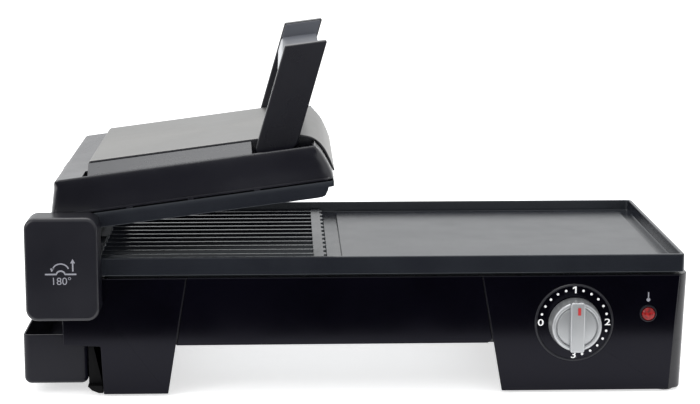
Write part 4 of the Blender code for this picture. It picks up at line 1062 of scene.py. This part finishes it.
def ink(outline, y, finish):
    """A flat printed shape that stands a tenth of a millimetre proud of the face at y."""
    global ink_count
    ink_count += 1
    made = slab(f"print_{ink_count:02d}", outline, y - PRINT_LIFT, y + 0.0002, 0.00002, steps=1)
    return fitted(made, finish, "silver_knob", "base")


def disc(x, z, r, count=20):
    """A round dot's outline."""
    angle = np.linspace(0, 2 * math.pi, count, endpoint=False)
    return np.column_stack([x + r * np.cos(angle), z + r * np.sin(angle)])


def stroke(path, width):
    """A band of one width along a path, with square ends: the path moved to both sides of itself."""
    path = np.asarray(path, float)
    run = np.gradient(path, axis=0)
    run /= np.linalg.norm(run, axis=1)[:, None]
    across = np.column_stack([-run[:, 1], run[:, 0]]) * width / 2
    return np.concatenate([path + across, (path - across)[::-1]])


def written(text, size, x, z, y, finish, weight, broad):
    """Type set in the built-in font, made a mesh, and stood upright at its place on the face."""
    curve = bpy.data.curves.new("type", "FONT")
    curve.body = text
    curve.size = size
    curve.extrude = 0.00008
    curve.offset = size * weight
    curve.align_x = "CENTER"
    curve.align_y = "CENTER"
    holder = bpy.data.objects.new("type", curve)
    bpy.context.scene.collection.objects.link(holder)
    bpy.context.view_layer.update()
    mesh = bpy.data.meshes.new_from_object(holder.evaluated_get(bpy.context.evaluated_depsgraph_get()))
    bpy.data.objects.remove(holder, do_unlink=True)
    spots = np.zeros(len(mesh.vertices) * 3)
    mesh.vertices.foreach_get("co", spots)
    spots = spots.reshape(-1, 3)
    placed = np.column_stack([x + broad * spots[:, 0], y - spots[:, 2], z + spots[:, 1]])
    mesh.vertices.foreach_set("co", placed.ravel())
    made = bpy.data.objects.new("print_type_" + text.rstrip("\u00b0"), mesh)
    bpy.context.scene.collection.objects.link(made)
    return fitted(made, finish, "silver_knob", "base")


DOT_R = 0.0298
figure_one = np.array([(0.0002, -0.0031), (0.0016, -0.0031), (0.0016, 0.0031), (0.0003, 0.0031),
                       (-0.0018, 0.0019), (-0.0018, 0.0006), (0.0002, 0.0015)])
for turn_step in range(19):
    bearing = math.radians(180 - 15 * turn_step)
    spot = np.array([dial_x + DOT_R * math.cos(bearing), dial_z + DOT_R * math.sin(bearing)])
    if turn_step % 6:
        ink(disc(*spot, 0.00112), dial_face, WHITE_PRINT)
    elif turn_step == 6:
        ink(spot + figure_one, dial_face, WHITE_PRINT)
    else:
        written(str(turn_step // 6), 0.0084, *spot, dial_face, WHITE_PRINT, 0.01, 1.35)

TUBE_HALF = 0.0005
ink(disc(lamp_x, lamp_z + 0.0124, 0.0017), dial_face, GREY_PRINT)
ink(corners_of((lamp_x - TUBE_HALF, lamp_z + 0.0136), (lamp_x + TUBE_HALF, lamp_z + 0.0192)), dial_face,
    GREY_PRINT)

cup_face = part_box("hinge_block_front")[0].y
SIGN_MIDDLE = np.array([-0.2553, 0.1190])
SIGN_SCALE = 1.12


def sign(points, path_width=None):
    """One shape of the small picture, from its own frame to its place on the cup; a path becomes a band."""
    shape = np.asarray(points, float) if path_width is None else stroke(points, path_width)
    return ink(SIGN_MIDDLE + SIGN_SCALE * shape, cup_face, GREY_PRINT)


bump_angle = np.radians(np.linspace(180, 0, 13))
bump = np.column_stack([-0.0005 + 0.0032 * np.cos(bump_angle), -0.0012 + 0.0026 * np.sin(bump_angle)])
sign(np.concatenate([[(-0.0125, -0.0012)], bump, [(0.0115, -0.0012)]]), 0.0012)
swing = np.radians(np.linspace(20, 165, 17))
sign(np.column_stack([-0.0005 + 0.0064 * np.cos(swing), 0.0012 + 0.0058 * np.sin(swing)]), 0.0010)
sign([(-0.0086, 0.0034), (-0.0052, 0.0040), (-0.0074, 0.0006)])
sign(corners_of((0.0083, 0.0010), (0.0094, 0.0076)))
sign([(0.0070, 0.0074), (0.0107, 0.0074), (0.00885, 0.0108)])
written("180\u00b0", 0.0093, SIGN_MIDDLE[0] - 0.0002, SIGN_MIDDLE[1] - 0.0078, cup_face, GREY_PRINT, -0.004,
        1.02)


# ---- Studio -----------------------------------------------------------------------------------------
# A wide pale floor that glows a little, even white light from all round, two soft boxes, and the camera. In
# front lies a dark flag that nothing but glossy reflections can see; it keeps the panels deep black.


def studio_sheet(name, low, high, z, paint_name, colour, rough):
    """A flat painted sheet that isn't part of the machine, with its shader's sockets."""
    mesh = bpy.data.meshes.new(name)
    mesh.from_pydata([(x, y, z) for x, y in corners_of(low, high)], [], [(0, 1, 2, 3)])
    made = bpy.data.objects.new(name, mesh)
    bpy.context.scene.collection.objects.link(made)
    paint = bpy.data.materials.new(paint_name)
    paint.use_nodes = True
    sockets = paint.node_tree.nodes["Principled BSDF"].inputs
    sockets["Base Color"].default_value = (*colour, 1)
    sockets["Roughness"].default_value = rough
    mesh.materials.append(paint)
    return made, sockets


paint_sockets = studio_sheet("studio_floor", (-6, -6), (6, 6), 0, "studio_floor_paint",
                             (0.86, 0.86, 0.86), 0.7)[1]
paint_sockets["Emission Color"].default_value = (1, 1, 1, 1)
paint_sockets["Emission Strength"].default_value = 0.60

FLAG_START = -0.335
flag = studio_sheet("studio_flag", (-5, -5), (5, FLAG_START), 0.001, "studio_flag_cloth",
                    (0.004, 0.004, 0.005), 0.9)[0]
flag.visible_camera = False
flag.visible_diffuse = False
flag.visible_shadow = False
flag.visible_transmission = False

world = bpy.data.worlds.new("studio_light")
bpy.context.scene.world = world
world.use_nodes = True
world.node_tree.nodes["Background"].inputs["Color"].default_value = (0.98, 0.99, 1.0, 1)
world.node_tree.nodes["Background"].inputs["Strength"].default_value = 1.0


def soft_box(name, place, aim, size, power):
    """A square soft light at a place, turned to face a point."""
    lamp = bpy.data.lights.new(name, "AREA")
    lamp.size = size
    lamp.energy = power
    made = bpy.data.objects.new(name, lamp)
    bpy.context.scene.collection.objects.link(made)
    made.location = place
    way = np.array(aim) - np.array(place)
    down = math.acos(-way[2] / np.linalg.norm(way))
    made.rotation_euler = (down, 0, math.atan2(way[1], way[0]) - math.pi / 2)
    made.visible_camera = False
    return made


soft_box("top_box", (-0.3, 0.3, 1.8), (0.0, 0.0, 0.1), 1.6, 22)
soft_box("left_box", (-1.6, -1.2, 1.0), (0.0, 0.0, 0.1), 1.0, 10)

CAMERA_PLACE = (-0.062, -1.7655, 0.4763)
CAMERA_PITCH = 79.521
CAMERA_YAW = -1.973
camera_data = bpy.data.cameras.new("camera")
camera_data.lens = 97.71
camera_data.sensor_width = 36.0
camera_data.sensor_fit = "HORIZONTAL"
camera = bpy.data.objects.new("camera", camera_data)
bpy.context.scene.collection.objects.link(camera)
camera.location = CAMERA_PLACE
camera.rotation_euler = (math.radians(CAMERA_PITCH), 0, math.radians(CAMERA_YAW))
bpy.context.scene.camera = camera
bpy.context.scene.view_settings.view_transform = "Standard"
